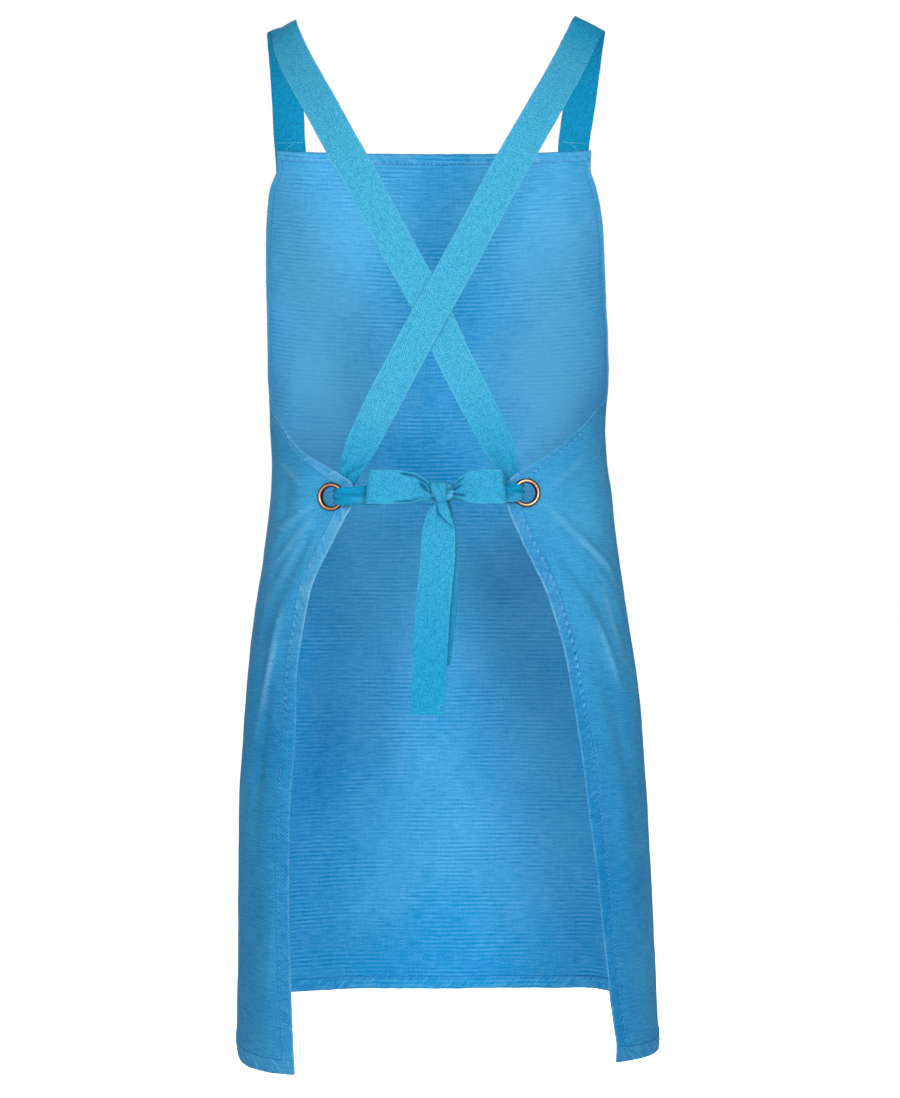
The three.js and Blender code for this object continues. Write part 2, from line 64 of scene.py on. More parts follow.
# ---------------------------------------------------------------- tables
FORM = table(
    "z wide_left wide_right front_y side_y back_y back_power",
    """-90 197 185 -109 -66 40 2.8
    -112 187 177 -113 -50 60 2.8
    -135 187.5 177.5 -116 -36 80 2.8
    -165 181.5 175.8 -120 -20 95 2.8
    -195 175 171.8 -124 -7 102 2.8
    -224 169.5 167.5 -126 1 105 2.8
    -254 164.4 163.4 -127 4 106 2.8
    -283 159.7 160.7 -127 5 106 2.8
    -312 156 157.8 -125 6 105 2.8
    -340 151.4 153.1 -123 5 104 2.8
    -367 151 151.5 -121 3 103 2.8
    -395 149.3 153 -119 1 103 2.8
    -422 150.2 157 -118 -1 103 2.8
    -449 153 160.3 -118 -2 103 2.8
    -477 156.6 164 -119 -3 102 2.8
    -532 164 172 -122 -6 100 2.7
    -587 171.3 180.4 -126 -9 98 2.6
    -642 175.8 186.8 -129 -12 97 2.5
    -697 179.5 190.5 -132 -14 97 2.5
    -807 182.3 196 -137 -18 97 2.5
    -917 183.2 201.5 -140 -20 97 2.5
    -950 183.5 202.5 -140.5 -20 97 2.5""",
)
CUT = table(
    "z left right",
    """-90 155 149
    -112 155.5 149.5
    -135 164.5 158
    -165 171.7 168.3
    -195 179.5 177
    -224 186.8 185.1
    -254 193.5 194
    -283 200 203
    -312 209.5 215
    -332 230 238
    -345 248 262
    -352 262 279
    -363 280 291
    -377 292 311
    -390 305 329
    -404 329 355
    -413 345.5 371.5
    -420.5 354.6 379.6
    -437.5 356.4 382.2
    -449 352.6 380.6
    -470 346 375.8
    -521 335 364
    -560 337 362
    -600 341 364
    -700 350 366
    -780 355 364
    -863 361 364
    -945 366.5 357""",
)
HEM_LINE = table(
    "share left_z right_z",
    """0 -905 -905
    0.3 -903 -902
    0.44 -900.5 -897.5
    0.56 -906 -902
    0.7 -928 -919
    0.82 -938.5 -930
    1 -936.5 -927""",
)
# Ridges (+) and dips (-) along a line in X and Z, on the back (1) or the front (-1) of the sheet.
# The first fifteen are the CAD's own folds, the rest are finer creases.
FOLDS = table(
    "half x1 z1 x2 z2 width height pale",
    """1 104 -446 156 -472 8 2.6 0
    1 108 -462 160 -520 11 -2.4 0
    1 104 -470 166 -600 12 2.6 0
    1 150 -520 168 -720 10 -2.4 0
    1 140 -640 150 -900 12 2.0 0
    1 -88 -444 -146 -492 8 3.0 0
    1 -96 -470 -158 -540 9 -3.0 0
    1 -104 -486 -168 -590 11 3.2 0
    1 -140 -560 -172 -680 9 -2.6 0
    1 -146 -600 -176 -800 12 2.4 0
    -1 -70 -470 -96 -880 26 3.5 0
    -1 -8 -500 -4 -890 24 -3.0 0
    -1 74 -470 92 -880 26 3.5 0
    -1 128 -520 146 -880 18 -3.0 0
    -1 -132 -520 -150 -880 18 -3.0 0
    1 104 -436 151 -466 3.4 1.7 0.22
    1 101 -433 149 -455 3.0 -1.5 0
    1 108 -449 151 -497 3.6 1.6 0.20
    1 114 -448 154 -484 3.4 -1.5 0
    1 116 -466 154 -530 4.2 1.3 0.12
    1 110 -470 146 -548 4.4 -1.1 0
    1 146 -500 164 -584 3.0 1.4 0.32
    1 136 -530 156 -616 3.2 1.3 0.28
    1 142 -560 166 -660 3.2 1.2 0.24
    1 148 -600 160 -700 3.6 -1.2 0
    1 122 -560 140 -720 5.0 0.9 0.05
    1 128 -680 148 -860 5.0 0.8 0.06
    1 118 -420 142 -396 3.4 1.0 0.2
    1 112 -432 150 -424 4.0 -1.0 0
    1 -92 -436 -130 -472 4.0 1.9 0.14
    1 -126 -468 -154 -494 3.4 1.6 0.26
    1 -95 -444 -146 -496 3.6 -1.7 0
    1 -150 -488 -168 -533 3.0 1.4 0.32
    1 -148 -514 -167 -578 3.0 1.3 0.30
    1 -142 -542 -161 -596 3.0 1.2 0.26
    1 -138 -520 -158 -572 3.2 -1.2 0
    1 -144 -400 -153 -452 3.0 1.2 0.2
    1 -149 -412 -157 -456 2.6 -1.6 0
    1 -126 -600 -150 -760 5.0 0.9 0.08
    1 -118 -560 -136 -680 4.6 -0.9 0
    1 -96 -424 -128 -398 3.6 1.0 0.12""",
)
ROUTE = "x y z ax ay az w t"
STRAP_LEFT = table(
    ROUTE,
    """141.2 -97.0 -84 0.975 0.22 0 30 1.2
    141.6 -93.2 -70 0.985 0.15 0 30 1.2
    141.9 -84.5 -52 1 0.05 0 30 1.2
    142.1 -68 -32 1 -0.08 -0.05 30 1.2
    142.2 -45 -14 0.94 -0.28 -0.15 30 1.2
    142 -21 -3.4 0.85 -0.45 -0.18 29 1.2
    140.6 0 0.2 0.76 -0.57 -0.22 26.5 1.2
    137.6 16 -9 0.78 -0.45 -0.36 28.5 1.2
    132.6 31 -25 0.82 -0.28 -0.47 30 1.2
    120.6 55 -52.5 0.85 -0.14 -0.49 30 1.2
    103.2 78 -86 0.86 -0.08 -0.49 30 1.2
    83.3 94 -124 0.87 -0.05 -0.49 30 1.2
    65.2 101 -157 0.88 -0.04 -0.48 30 1.2
    46.6 104.5 -192 0.88 -0.02 -0.48 30 1.2
    28 105 -227 0.88 0 -0.47 30 1.2
    4.3 103.6 -270 0.88 0 -0.46 30 1.2
    -15.6 100 -312.6 0.89 0 -0.45 30 1.2
    -33.3 96.5 -347 0.89 0 -0.45 30 1.2
    -50.7 93.5 -381.4 0.88 0 -0.46 28 1.5
    -58.6 92 -398.7 0.86 0.02 -0.5 24 1.9
    -63.4 91.4 -410 0.78 0.05 -0.62 18 2.6
    -67.6 92.6 -419.4 0.5 0.05 -0.86 14 2.6
    -71.6 93.6 -425.6 0.1 0 -1 12 2.6
    -74.2 97 -427.3 0 0 -1 12 2.6
    -74.7 100.1 -427.4 0 0 -1 12 2.6
    -71.8 104.2 -427.4 0 0 -1 14 2.6
    -66 106.1 -427.4 0 0 -1 16 2.6
    -56 106.8 -427.4 0 0 -1 17 2.4
    -40 107 -427.4 0 0 -1 17 2.4
    -26 107.4 -427.7 0 0 -1 15 2.4
    -16 107.6 -428 0 0 -1 12 2.4""",
)
STRAP_RIGHT = table(
    ROUTE,
    """-131.4 -97.0 -84 0.975 -0.22 0 30 1.2
    -133.4 -93.2 -69 0.985 -0.15 0.06 30 1.2
    -136 -84.5 -50 1 -0.05 0.1 30 1.2
    -138 -68 -29 1 0.08 0.12 30 1.2
    -139.4 -45 -10 0.96 0.16 0.22 30 1.2
    -139.9 -21 0.4 0.92 0.24 0.3 30 1.2
    -139.4 0 2.6 0.89 0.3 0.36 30 1.2
    -134.6 15 -6 0.87 0.24 0.43 30 1.2
    -127 30 -23 0.86 0.16 0.48 30 1.2
    -113.4 55 -52.5 0.86 0.1 0.49 30 1.2
    -95.8 78 -86 0.87 0.06 0.49 30 1.2
    -75 94 -124 0.87 0.04 0.48 30 1.2
    -56.6 101.4 -157 0.88 0.03 0.48 30 1.2
    -38.4 106.2 -192 0.88 0.01 0.48 30 1.2
    -19.8 107.4 -227 0.88 0 0.48 30 1.2
    3.4 106.4 -268.4 0.88 0 0.47 30 1.2
    27.6 102 -312.7 0.89 0 0.46 30 1.2
    45.9 97 -347 0.89 0 0.46 30 1.2
    63.3 93.5 -381.4 0.88 0 0.46 28 1.5
    71.6 92 -398.7 0.88 0.02 0.44 24 1.9
    76 90.6 -410.5 0.85 0.05 0.5 18 2.6
    81.2 89 -422.5 0.5 0.05 0.8 14 2.6
    85.6 89.4 -429 0.1 0 1 12 2.6
    88.6 92.6 -430.5 0 0 1 12 2.6
    89.4 96 -430.6 0 0 1 12 2.6
    86.8 100.2 -430.6 0 0 1 14 2.6
    81.3 102.7 -430.6 0 0 1 16 2.6
    73 103.9 -430.4 0 0 1 16 2.6
    60 105 -429.8 0 0 1 17 2.4
    40 106 -429 0 0 1 17 2.4
    18 107.2 -428.3 0 0 1 15 2.4
    6 107.6 -428 0 0 1 12 2.4""",
)
LOOP_LEFT = table(
    ROUTE,
    """5 111.6 -427.6 0 0 1 11 2.2
    8.5 111.5 -427.1 0 0 1 15 2.2
    14 111 -425.4 0 0 1 21 1.8
    22 110.6 -423.6 0 0 1 27 1.2
    36 110.6 -422.9 0 0 1 29 1.2
    50 110.9 -422.8 0 0 1 29.3 1.2
    57.2 111.9 -422.8 -0.07 0 1 29.3 1.2
    59.8 114.4 -422.8 -0.09 0 1 29.3 1.2
    57.2 117.1 -422.8 -0.08 0 1 29.3 1.2
    50 118.4 -422.9 0 0 1 29.2 1.2
    36 119.3 -423 0 0 1 29 1.2
    22 119.4 -423.6 0 0 1 26.5 1.2
    14 118.4 -425.2 0 0 1 21 1.8
    8.5 116.9 -426.8 0 0 1 16 2.2
    3.5 115.6 -427.8 0 0 1 12 2.2""",
)
LOOP_RIGHT = table(
    ROUTE,
    """-14.5 111.6 -427.6 0 0 -1 11 2.2
    -18.5 111.5 -427.1 0 0 -1 15 2.2
    -23 111 -425.5 0 0 -1 21 1.8
    -30 110.6 -423.6 0 0 -1 27 1.2
    -40 110.6 -422.7 0 0 -1 29 1.2
    -50 110.9 -422.5 0 0 -1 29.3 1.2
    -55.6 111.9 -422.5 -0.10 0 -1 29.3 1.2
    -57.6 114.4 -422.5 -0.13 0 -1 29.3 1.2
    -55.6 117.1 -422.5 -0.12 0 -1 29.3 1.2
    -50 118.4 -422.5 0 0 -1 29.3 1.2
    -40 119.4 -422.7 0 0 -1 29.3 1.2
    -30 119.6 -423.4 0 0 -1 27.5 1.2
    -23 118.8 -424.6 0 0 -1 22 1.8
    -17 117.4 -425.8 0 0 -1 15 2.2
    -12.5 116 -426.6 0 0 -1 11 2.2""",
)
TAIL_FRONT = table(
    ROUTE,
    """-3.4 117.4 -433.5 1 0 0 8.5 2.2
    -3.6 117.6 -437 1 0 0 10.5 2
    -2.1 117.6 -444.3 1 0 0 19 1.5
    -1.4 117.4 -451.2 1 0 0 23.5 1.2
    -1.4 117.2 -460.6 1 0 0 28.4 1.2
    -1 117 -473 1 0 0 29.6 1.2
    -0.4 116.9 -485 1 0 0 30 1.2
    3 116.8 -520 1 0.05 0 30 1.2
    5.1 116.6 -554 1 0.05 0 29.6 1.2
    6.4 116.4 -580 1 0.05 0 29.6 1.2
    7.5 116.2 -605 1 0 0 29.2 1.2
    7.8 116.2 -618 1 0 0 29 1.2""",
)
TAIL_BACK = table(
    ROUTE,
    """-6 112.2 -431 1 0 0 9 2.2
    -6.2 112.3 -438 1 0 0 12 2
    -5.4 112.5 -447 1 0 0 18 1.5
    -4.4 112.9 -458 1 0 0 23.5 1.2
    -3.3 113.2 -485 1 0 0 30 1.2
    -2.8 113.2 -519 1 0.05 0 30 1.2
    -0.3 113.1 -545 1 0.05 0 30 1.2
    3.6 113 -574 1 0 0 30 1.2""",
)
# The turn of tape that makes the knot's face: from behind its top, over the front, to behind its foot.
KNOT_WRAP = table(
    ROUTE,
    """-0.2 110.5 -421.8 1 0 0.05 14 2
    -0.4 114 -419.6 1 0 0.02 15 1.6
    -0.9 117.6 -420.2 1 0 -0.05 15 1.6
    -1.6 119.6 -423.6 1 0 -0.16 14 1.6
    -2.6 120 -428.2 1 0 -0.24 11.5 1.6
    -3.5 119.2 -432.6 1 0 -0.24 9.2 1.6
    -4 116.4 -436 1 0 -0.18 8.4 1.6
    -4 111.6 -436.2 1 0 -0.1 8 2""",
)
KNOT = table(
    "x half_height half_depth z",
    """-14.8 5.0 4.2 -427.6
    -12.5 6.8 5.4 -427.8
    -9 7.6 6 -428.2
    -5 7.9 6.3 -428.4
    -1 7.5 6.1 -428.3
    2.6 6.6 5.4 -428
    4.8 5.0 4.2 -427.6""",
)
KNOT_Y = 113.0
EYELET_PROFILE = table(
    "r h",
    """8.5 -2.3
    8.45 0.6
    8.7 1.7
    9.2 2.45
    9.9 2.9
    10.6 3.0
    11.3 2.85
    11.9 2.4
    12.35 1.7
    12.6 0.95
    12.3 0.6
    9.3 0.6
    9.3 -1.5
    12.0 -1.75
    12.15 -2.2
    11.6 -2.65
    10.4 -2.85
    9.3 -2.8""",
)


# ---------------------------------------------------------------- small tools
class Smooth:
    """A monotone cubic through one column of a table."""

    def __init__(self, rows, key, column, sign=1.0):
        self.sign = sign
        self.x = x = sign * rows[key]
        self.y = y = rows[column]
        self.h = h = np.diff(x)
        d = np.diff(y) / h
        n = len(x)
        m = np.zeros(n)
        for i in range(1, n - 1):
            if d[i - 1] * d[i] > 0:
                w1, w2 = 2 * h[i] + h[i - 1], h[i] + 2 * h[i - 1]
                m[i] = (w1 + w2) / (w1 / d[i - 1] + w2 / d[i])
        m[0] = self.end(h[0], h[1], d[0], d[1])
        m[-1] = self.end(h[-1], h[-2], d[-1], d[-2])
        self.m = m

    @staticmethod
    def end(h0, h1, d0, d1):
        s = ((2 * h0 + h1) * d0 - h0 * d1) / (h0 + h1)
        if s * d0 <= 0:
            return 0.0
        if d0 * d1 <= 0 and abs(s) > 3 * abs(d0):
            return 3 * d0
        return s

    def __call__(self, at):
        q = np.clip(self.sign * np.asarray(at, float), self.x[0], self.x[-1])
        i = np.clip(np.searchsorted(self.x, q, side="left") - 1, 0, len(self.x) - 2)
        h = self.h[i]
        t = (q - self.x[i]) / h
        u = 1 - t
        return (
            self.y[i] * u * u * (1 + 2 * t)
            + self.y[i + 1] * t * t * (3 - 2 * t)
            + h * t * u * (self.m[i] * u - self.m[i + 1] * t)
        )


def step(d, a, b):
    """0 at a, 1 at b, with soft ends."""
    t = np.clip((np.asarray(d, float) - a) / (b - a), 0, 1)
    return t * t * (3 - 2 * t)


def fade(d, a, b):
    return 1 - step(d, a, b)


def noise(x, y, seed=0):
    """Soft lattice noise from -1 to 1, one cell a unit."""
    lattice = np.random.RandomState(1000 + seed).uniform(-1, 1, (256, 256))
    x, y = np.broadcast_arrays(np.asarray(x, float), np.asarray(y, float))
    i, j = np.floor(x).astype(int), np.floor(y).astype(int)
    fx, fy = x - i, y - j
    fx, fy = fx * fx * fx * (fx * (6 * fx - 15) + 10), fy * fy * fy * (fy * (6 * fy - 15) + 10)
    i0, j0, i1, j1 = i % 256, j % 256, (i + 1) % 256, (j + 1) % 256
    a = lattice[i0, j0] * (1 - fx) + lattice[i1, j0] * fx
    b = lattice[i0, j1] * (1 - fx) + lattice[i1, j1] * fx
    return a * (1 - fy) + b * fy


def unit(v):
    return v / np.maximum(np.linalg.norm(v, axis=-1, keepdims=True), 1e-12)


# ---------------------------------------------------------------- the sheet's surface
form = {k: Smooth(FORM, "z", k, -1) for k in FORM if k != "z"}
cut = {k: Smooth(CUT, "z", k, -1) for k in ("left", "right")}
hem_line = {
    "left": Smooth(HEM_LINE, "share", "left_z"),
    "right": Smooth(HEM_LINE, "share", "right_z"),
}
DEG = np.radians(np.arange(0, 179.01, 0.5))


def section(z, angles):
    """x of both halves (for a unit width) and y round the form's section, at one height."""
    s, c = np.sin(angles), np.cos(angles)
    front = c >= 0
    p = np.where(front, FRONT_POWER, form["back_power"](z))
    side = form["side_y"](z)
    depth = np.where(front, form["front_y"](z), form["back_y"](z)) - side
    return np.abs(s) ** (2 / p), side + depth * np.abs(c) ** (2 / p)


def form_row(z, reach):
    """Points of the form at height z, reach mm round it from the centre front, and the way out."""
    out = np.zeros((len(reach), 2))
    pts = np.zeros((len(reach), 3))
    pts[:, 2] = z
    xs, ys = section(z, DEG)
    for sign, name in ((1, "wide_left"), (-1, "wide_right")):
        wide = float(form[name](z))
        seg = np.hypot(np.diff(xs * wide), np.diff(ys))
        arc = np.concatenate([[0], np.cumsum(seg)])
        m = (reach >= 0) if sign > 0 else (reach < 0)
        r = np.abs(reach[m])
        a = np.interp(r, arc, DEG)
        eps = math.radians(0.6)
        x, y = section(z, a)
        x1, y1 = section(z, np.clip(a - eps, 0, None))
        x2, y2 = section(z, a + eps)
        t = unit(np.stack([(x2 - x1) * wide, y2 - y1], -1))
        pts[m, 0], pts[m, 1] = sign * x * wide, y
        out[m, 0], out[m, 1] = sign * t[:, 1], -t[:, 0]
    return pts, out


def near_side(p):
    """0 over most of the back, 1 where the sheet turns at its sides."""
    wide = np.where(p[..., 0] >= 0, form["wide_left"](p[..., 2]), form["wide_right"](p[..., 2]))
    return step(np.abs(p[..., 0]) / wide, 0.86, 0.965)


def fold_height(p, side_y, column="height"):
    total = np.zeros(p.shape[:-1])
    back = p[..., 1] > side_y
    for k in range(len(FOLDS["half"])):
        f = {n: c[k] for n, c in FOLDS.items()}
        dx, dz = f["x2"] - f["x1"], f["z2"] - f["z1"]
        c = np.clip(((p[..., 0] - f["x1"]) * dx + (p[..., 2] - f["z1"]) * dz) / (dx * dx + dz * dz), 0, 1)
        d = np.hypot(p[..., 0] - f["x1"] - dx * c, p[..., 2] - f["z1"] - dz * c)
        if column == "pale":
            d = d * 1.5
        h = f[column] * np.exp(-((d / f["width"]) ** 2)) * np.sin(np.pi * (0.12 + 0.76 * c)) ** 0.7
        total += np.where(back == (f["half"] > 0), h, 0)
    return total * (1 - np.where(back, near_side(p), 0))


for e in EYELETS.values():
    side = "left" if e["x"] > 0 else "right"
    r = np.linspace(0.6, 1, 4000) * float(cut[side](e["z"])) * (1 if e["x"] > 0 else -1)
    pts, _ = form_row(e["z"], r)
    k = int(np.argmin(np.abs(pts[:, 0] - e["x"])))
    e["reach"] = r[k]
    e["at"] = pts[k]
    ab, _ = form_row(e["z"], np.array([r[k] - 6, r[k] + 6]))
    n = np.array([ab[1, 1] - ab[0, 1], ab[0, 0] - ab[1, 0], 0])
    n /= np.linalg.norm(n)
    e["normal"] = -n if n[1] < 0 else n

GRID_Z = np.arange(-80.0, -960.0, -1.0)
GRID_R = np.arange(-410.0, 410.5, 1.0)


def make_surface():
    pts = np.zeros((len(GRID_Z), len(GRID_R), 3))
    out = np.zeros((len(GRID_Z), len(GRID_R), 2))
    for i, z in enumerate(GRID_Z):
        pts[i], out[i] = form_row(z, GRID_R)
    side_y = form["side_y"](GRID_Z)[:, None]
    lift = fold_height(pts, side_y)
    # the cloth's own slack: long soft waves and small washed-in ripples
    R, Z = np.meshgrid(GRID_R, GRID_Z)
    skirt = step(-Z, 430, 620)
    lift += 1.3 * skirt * noise(R / 46 + 0.03 * Z / 10, Z / 210, 3)
    lift += 0.7 * noise(R / 34, Z / 60, 4)
    lift += 0.22 * noise(R / 13 + 0.3 * noise(R / 30, Z / 30, 8), Z / 17, 5)
    lift += 0.12 * noise((R + 0.7 * Z) / 9, (Z - 0.5 * R) / 22, 6)
    # soft drag lines that fan from each eyelet over its flap
    for side, e in EYELETS.items():
        sign = 1 if side == "left" else -1
        away = sign * e["reach"] - sign * R
        down = e["z"] - Z
        far = np.hypot(away, down)
        turn = np.degrees(np.arctan2(down, away))
        fan = noise(turn / 7.5, 0.5 + far / 160, 14 if sign > 0 else 15) + 0.6 * noise(turn / 3.6, far / 90, 16 if sign > 0 else 17)
        w = step(far, 18, 40) * fade(far, 60, 210) * step(turn, -35, -10) * fade(turn, 75, 100)
        lift += 1.1 * fan * np.where(sign * R > 0, w, 0) * (1 - near_side(pts))
    pts[..., 0] += out[..., 0] * lift
    pts[..., 1] += out[..., 1] * lift
    for e in EYELETS.values():
        rel = pts - e["at"]
        off = rel @ e["normal"]
        plane = rel - off[..., None] * e["normal"]
        w = fade(np.linalg.norm(plane, axis=-1), EYE_FLAT, EYE_FADE)
        w = np.where(pts[..., 1] < 40, 0, w)
        pts -= (off * w)[..., None] * e["normal"]
    return pts


SURFACE = make_surface()


def cubic(t):
    """Catmull-Rom weights of the four points round t."""
    return (
        ((-0.5 * t + 1.0) * t - 0.5) * t,
        (1.5 * t - 2.5) * t * t + 1.0,
        ((-1.5 * t + 2.0) * t + 0.5) * t,
        (0.5 * t - 0.5) * t * t,
    )


def surface_at(z, reach):
    fi = np.clip((GRID_Z[0] - z), 1, len(GRID_Z) - 3.001)
    fj = np.clip((reach - GRID_R[0]), 1, len(GRID_R) - 3.001)
    i, j = np.floor(fi).astype(int), np.floor(fj).astype(int)
    wi, wj = cubic(fi - i), cubic(fj - j)
    p = 0
    for a in range(4):
        for b in range(4):
            p = p + (wi[a] * wj[b])[..., None] * SURFACE[i + a - 1, j + b - 1]
    return p


def on_sheet(a, z0):
    """The sheet's middle at flat place (a, z0): a mm round from the centre front, z0 the height on the cut."""
    a, z0 = np.broadcast_arrays(np.asarray(a, float), np.asarray(z0, float))
    left = a >= 0
    c0 = np.where(left, cut["left"](z0), cut["right"](z0))
    share = np.clip(np.abs(a) / c0, 0, 1)
    hem = np.where(left, hem_line["left"](share), hem_line["right"](share))
    low = z0 < HANG_Z
    z = np.where(low, HANG_Z + (z0 - HANG_Z) * (hem - HANG_Z) / (NOMINAL_HEM_Z - HANG_Z), z0)
    c1 = np.where(left, cut["left"](z), cut["right"](z))
    a2 = np.where(low, a * c1 / c0, a)
    # the small corner that turns out at the foot of the right flap
    low_corner = step(-z0, -NOMINAL_HEM_Z - 20, -NOMINAL_HEM_Z + 2) ** 1.5
    t = np.where(left, 0, low_corner * step(np.abs(a) - c0, -16, 0))
    a2 = a2 - 4.0 * t
    p = surface_at(z, a2)
    p[..., 1] += 4.5 * t
    return p


def with_normal(a, z0):
    p = on_sheet(a, z0)
    da = on_sheet(a + 1.0, z0) - on_sheet(a - 1.0, z0)
    dz = on_sheet(a, z0 + 1.0) - on_sheet(a, z0 - 1.0)
    n = unit(np.cross(da, dz))
    return p, n


def outward(p, n):
    """Flips normals that point into the body."""
    c = np.array([0, -8.0, 0])
    d = p - c
    d[..., 2] = 0
    flip = np.sum(n * d, -1) < 0
    n[flip] *= -1
    return n


# ---------------------------------------------------------------- mesh building
def make_object(name, verts, faces, uv=None, attrs=None, materials=(), smooth=True):
    """verts in mm; uv and attrs are one row a vertex."""
    mesh = bpy.data.meshes.new(name)
    verts = np.asarray(verts, float) * 0.001
    quads = isinstance(faces, np.ndarray)
    if quads:
        k = faces.shape[1]
        mesh.vertices.add(len(verts))
        mesh.vertices.foreach_set("co", verts.ravel())
        mesh.loops.add(faces.size)
        mesh.loops.foreach_set("vertex_index", faces.ravel().astype(np.int32))
        mesh.polygons.add(len(faces))
        mesh.polygons.foreach_set("loop_start", np.arange(0, faces.size, k, dtype=np.int32))
        mesh.update(calc_edges=True)
    else:
        mesh.from_pydata(verts.tolist(), [], faces)
    mesh.validate()
    if smooth:
        mesh.polygons.foreach_set("use_smooth", np.ones(len(mesh.polygons), bool))
    if uv is not None:
        layer = mesh.uv_layers.new(name="UVMap")
        idx = np.zeros(len(mesh.loops), np.int32)
        mesh.loops.foreach_get("vertex_index", idx)
        layer.data.foreach_set("uv", (np.asarray(uv, float)[idx]).ravel())
    for key, values in (attrs or {}).items():
        a = mesh.attributes.new(key, "FLOAT", "POINT")
        a.data.foreach_set("value", np.asarray(values, np.float32).ravel())
    mesh.update()
    obj = bpy.data.objects.new(name, mesh)
    scene.collection.objects.link(obj)
    for m in materials:
        mesh.materials.append(m)
    return obj


def grid_faces(R, C, base=0, flip=False, wrap=False):
    i = np.arange(R - 1)[:, None]
    j = np.arange(C if wrap else C - 1)[None, :]
    j2 = (j + 1) % C
    a = base + i * C + j
    b = base + (i + 1) * C + j
    c = base + (i + 1) * C + j2
    d = base + i * C + j2
    f = np.stack([a, b, c, d], -1).reshape(-1, 4)
    return f[:, ::-1] if flip else f


def orient(obj):
    """Turns the faces so that the closed body's volume is positive."""
    mesh = obj.data
    mesh.calc_loop_triangles()
    co = np.zeros(len(mesh.vertices) * 3)
    mesh.vertices.foreach_get("co", co)
    co = co.reshape(-1, 3)
    tri = np.zeros(len(mesh.loop_triangles) * 3, np.int32)
    mesh.loop_triangles.foreach_get("vertices", tri)
    tri = tri.reshape(-1, 3)
    a, b, c = co[tri[:, 0]], co[tri[:, 1]], co[tri[:, 2]]
    if np.sum(a * np.cross(b, c)) < 0:
        mesh.flip_normals()
    return obj


# ---------------------------------------------------------------- materials
def srgb(r, g, b):
    def lin(v):
        v /= 255
        return v / 12.92 if v <= 0.04045 else ((v + 0.055) / 1.055) ** 2.4

    return (lin(r), lin(g), lin(b), 1.0)


class Nodes:
    def __init__(self, mat):
        mat.use_nodes = True
        self.tree = mat.node_tree
        self.tree.nodes.clear()
        self.out = self.tree.nodes.new("ShaderNodeOutputMaterial")
        self.bsdf = self.tree.nodes.new("ShaderNodeBsdfPrincipled")
        self.tree.links.new(self.bsdf.outputs[0], self.out.inputs[0])

    def put(self, socket, value):
        if hasattr(value, "links"):
            self.tree.links.new(value, socket)
        elif value is not None:
            socket.default_value = value

    def math(self, op, a, b=0.0, clamp=False):
        n = self.tree.nodes.new("ShaderNodeMath")
        n.operation = op
        n.use_clamp = clamp
        self.put(n.inputs[0], a)
        self.put(n.inputs[1], b)
        return n.outputs[0]

    def attr(self, name):
        n = self.tree.nodes.new("ShaderNodeAttribute")
        n.attribute_name = name
        return n.outputs["Fac"]

    def uv(self):
        n = self.tree.nodes.new("ShaderNodeUVMap")
        n.uv_map = "UVMap"
        s = self.tree.nodes.new("ShaderNodeSeparateXYZ")
        self.tree.links.new(n.outputs[0], s.inputs[0])
        return s.outputs[0], s.outputs[1]

    def vec(self, x, y, z=0.0):
        n = self.tree.nodes.new("ShaderNodeCombineXYZ")
        for s, v in zip(n.inputs, (x, y, z)):
            self.put(s, v)
        return n.outputs[0]

    def noise(self, vector, scale, detail=2.0, rough=0.5):
        n = self.tree.nodes.new("ShaderNodeTexNoise")
        self.put(n.inputs["Vector"], vector)
        n.inputs["Scale"].default_value = scale
        n.inputs["Detail"].default_value = detail
        n.inputs["Roughness"].default_value = rough
        return n.outputs["Fac"]

    def ramp(self, value, a, b, lo=0.0, hi=1.0):
        n = self.tree.nodes.new("ShaderNodeMapRange")
        n.interpolation_type = "SMOOTHSTEP"
        self.put(n.inputs["Value"], value)
        n.inputs["From Min"].default_value = a
        n.inputs["From Max"].default_value = b
        n.inputs["To Min"].default_value = lo
        n.inputs["To Max"].default_value = hi
        return n.outputs["Result"]

    def mix(self, fac, a, b, kind="MIX"):
        n = self.tree.nodes.new("ShaderNodeMix")
        n.data_type = "RGBA"
        n.blend_type = kind
        self.put(n.inputs["Factor"], fac)
        self.put(n.inputs[6], a)
        self.put(n.inputs[7], b)
        return n.outputs[2]

    def bump(self, height, distance, strength=1.0, normal=None):
        n = self.tree.nodes.new("ShaderNodeBump")
        n.inputs["Strength"].default_value = strength
        n.inputs["Distance"].default_value = distance
        self.put(n.inputs["Height"], height)
        if normal is not None:
            self.put(n.inputs["Normal"], normal)
        return n.outputs[0]


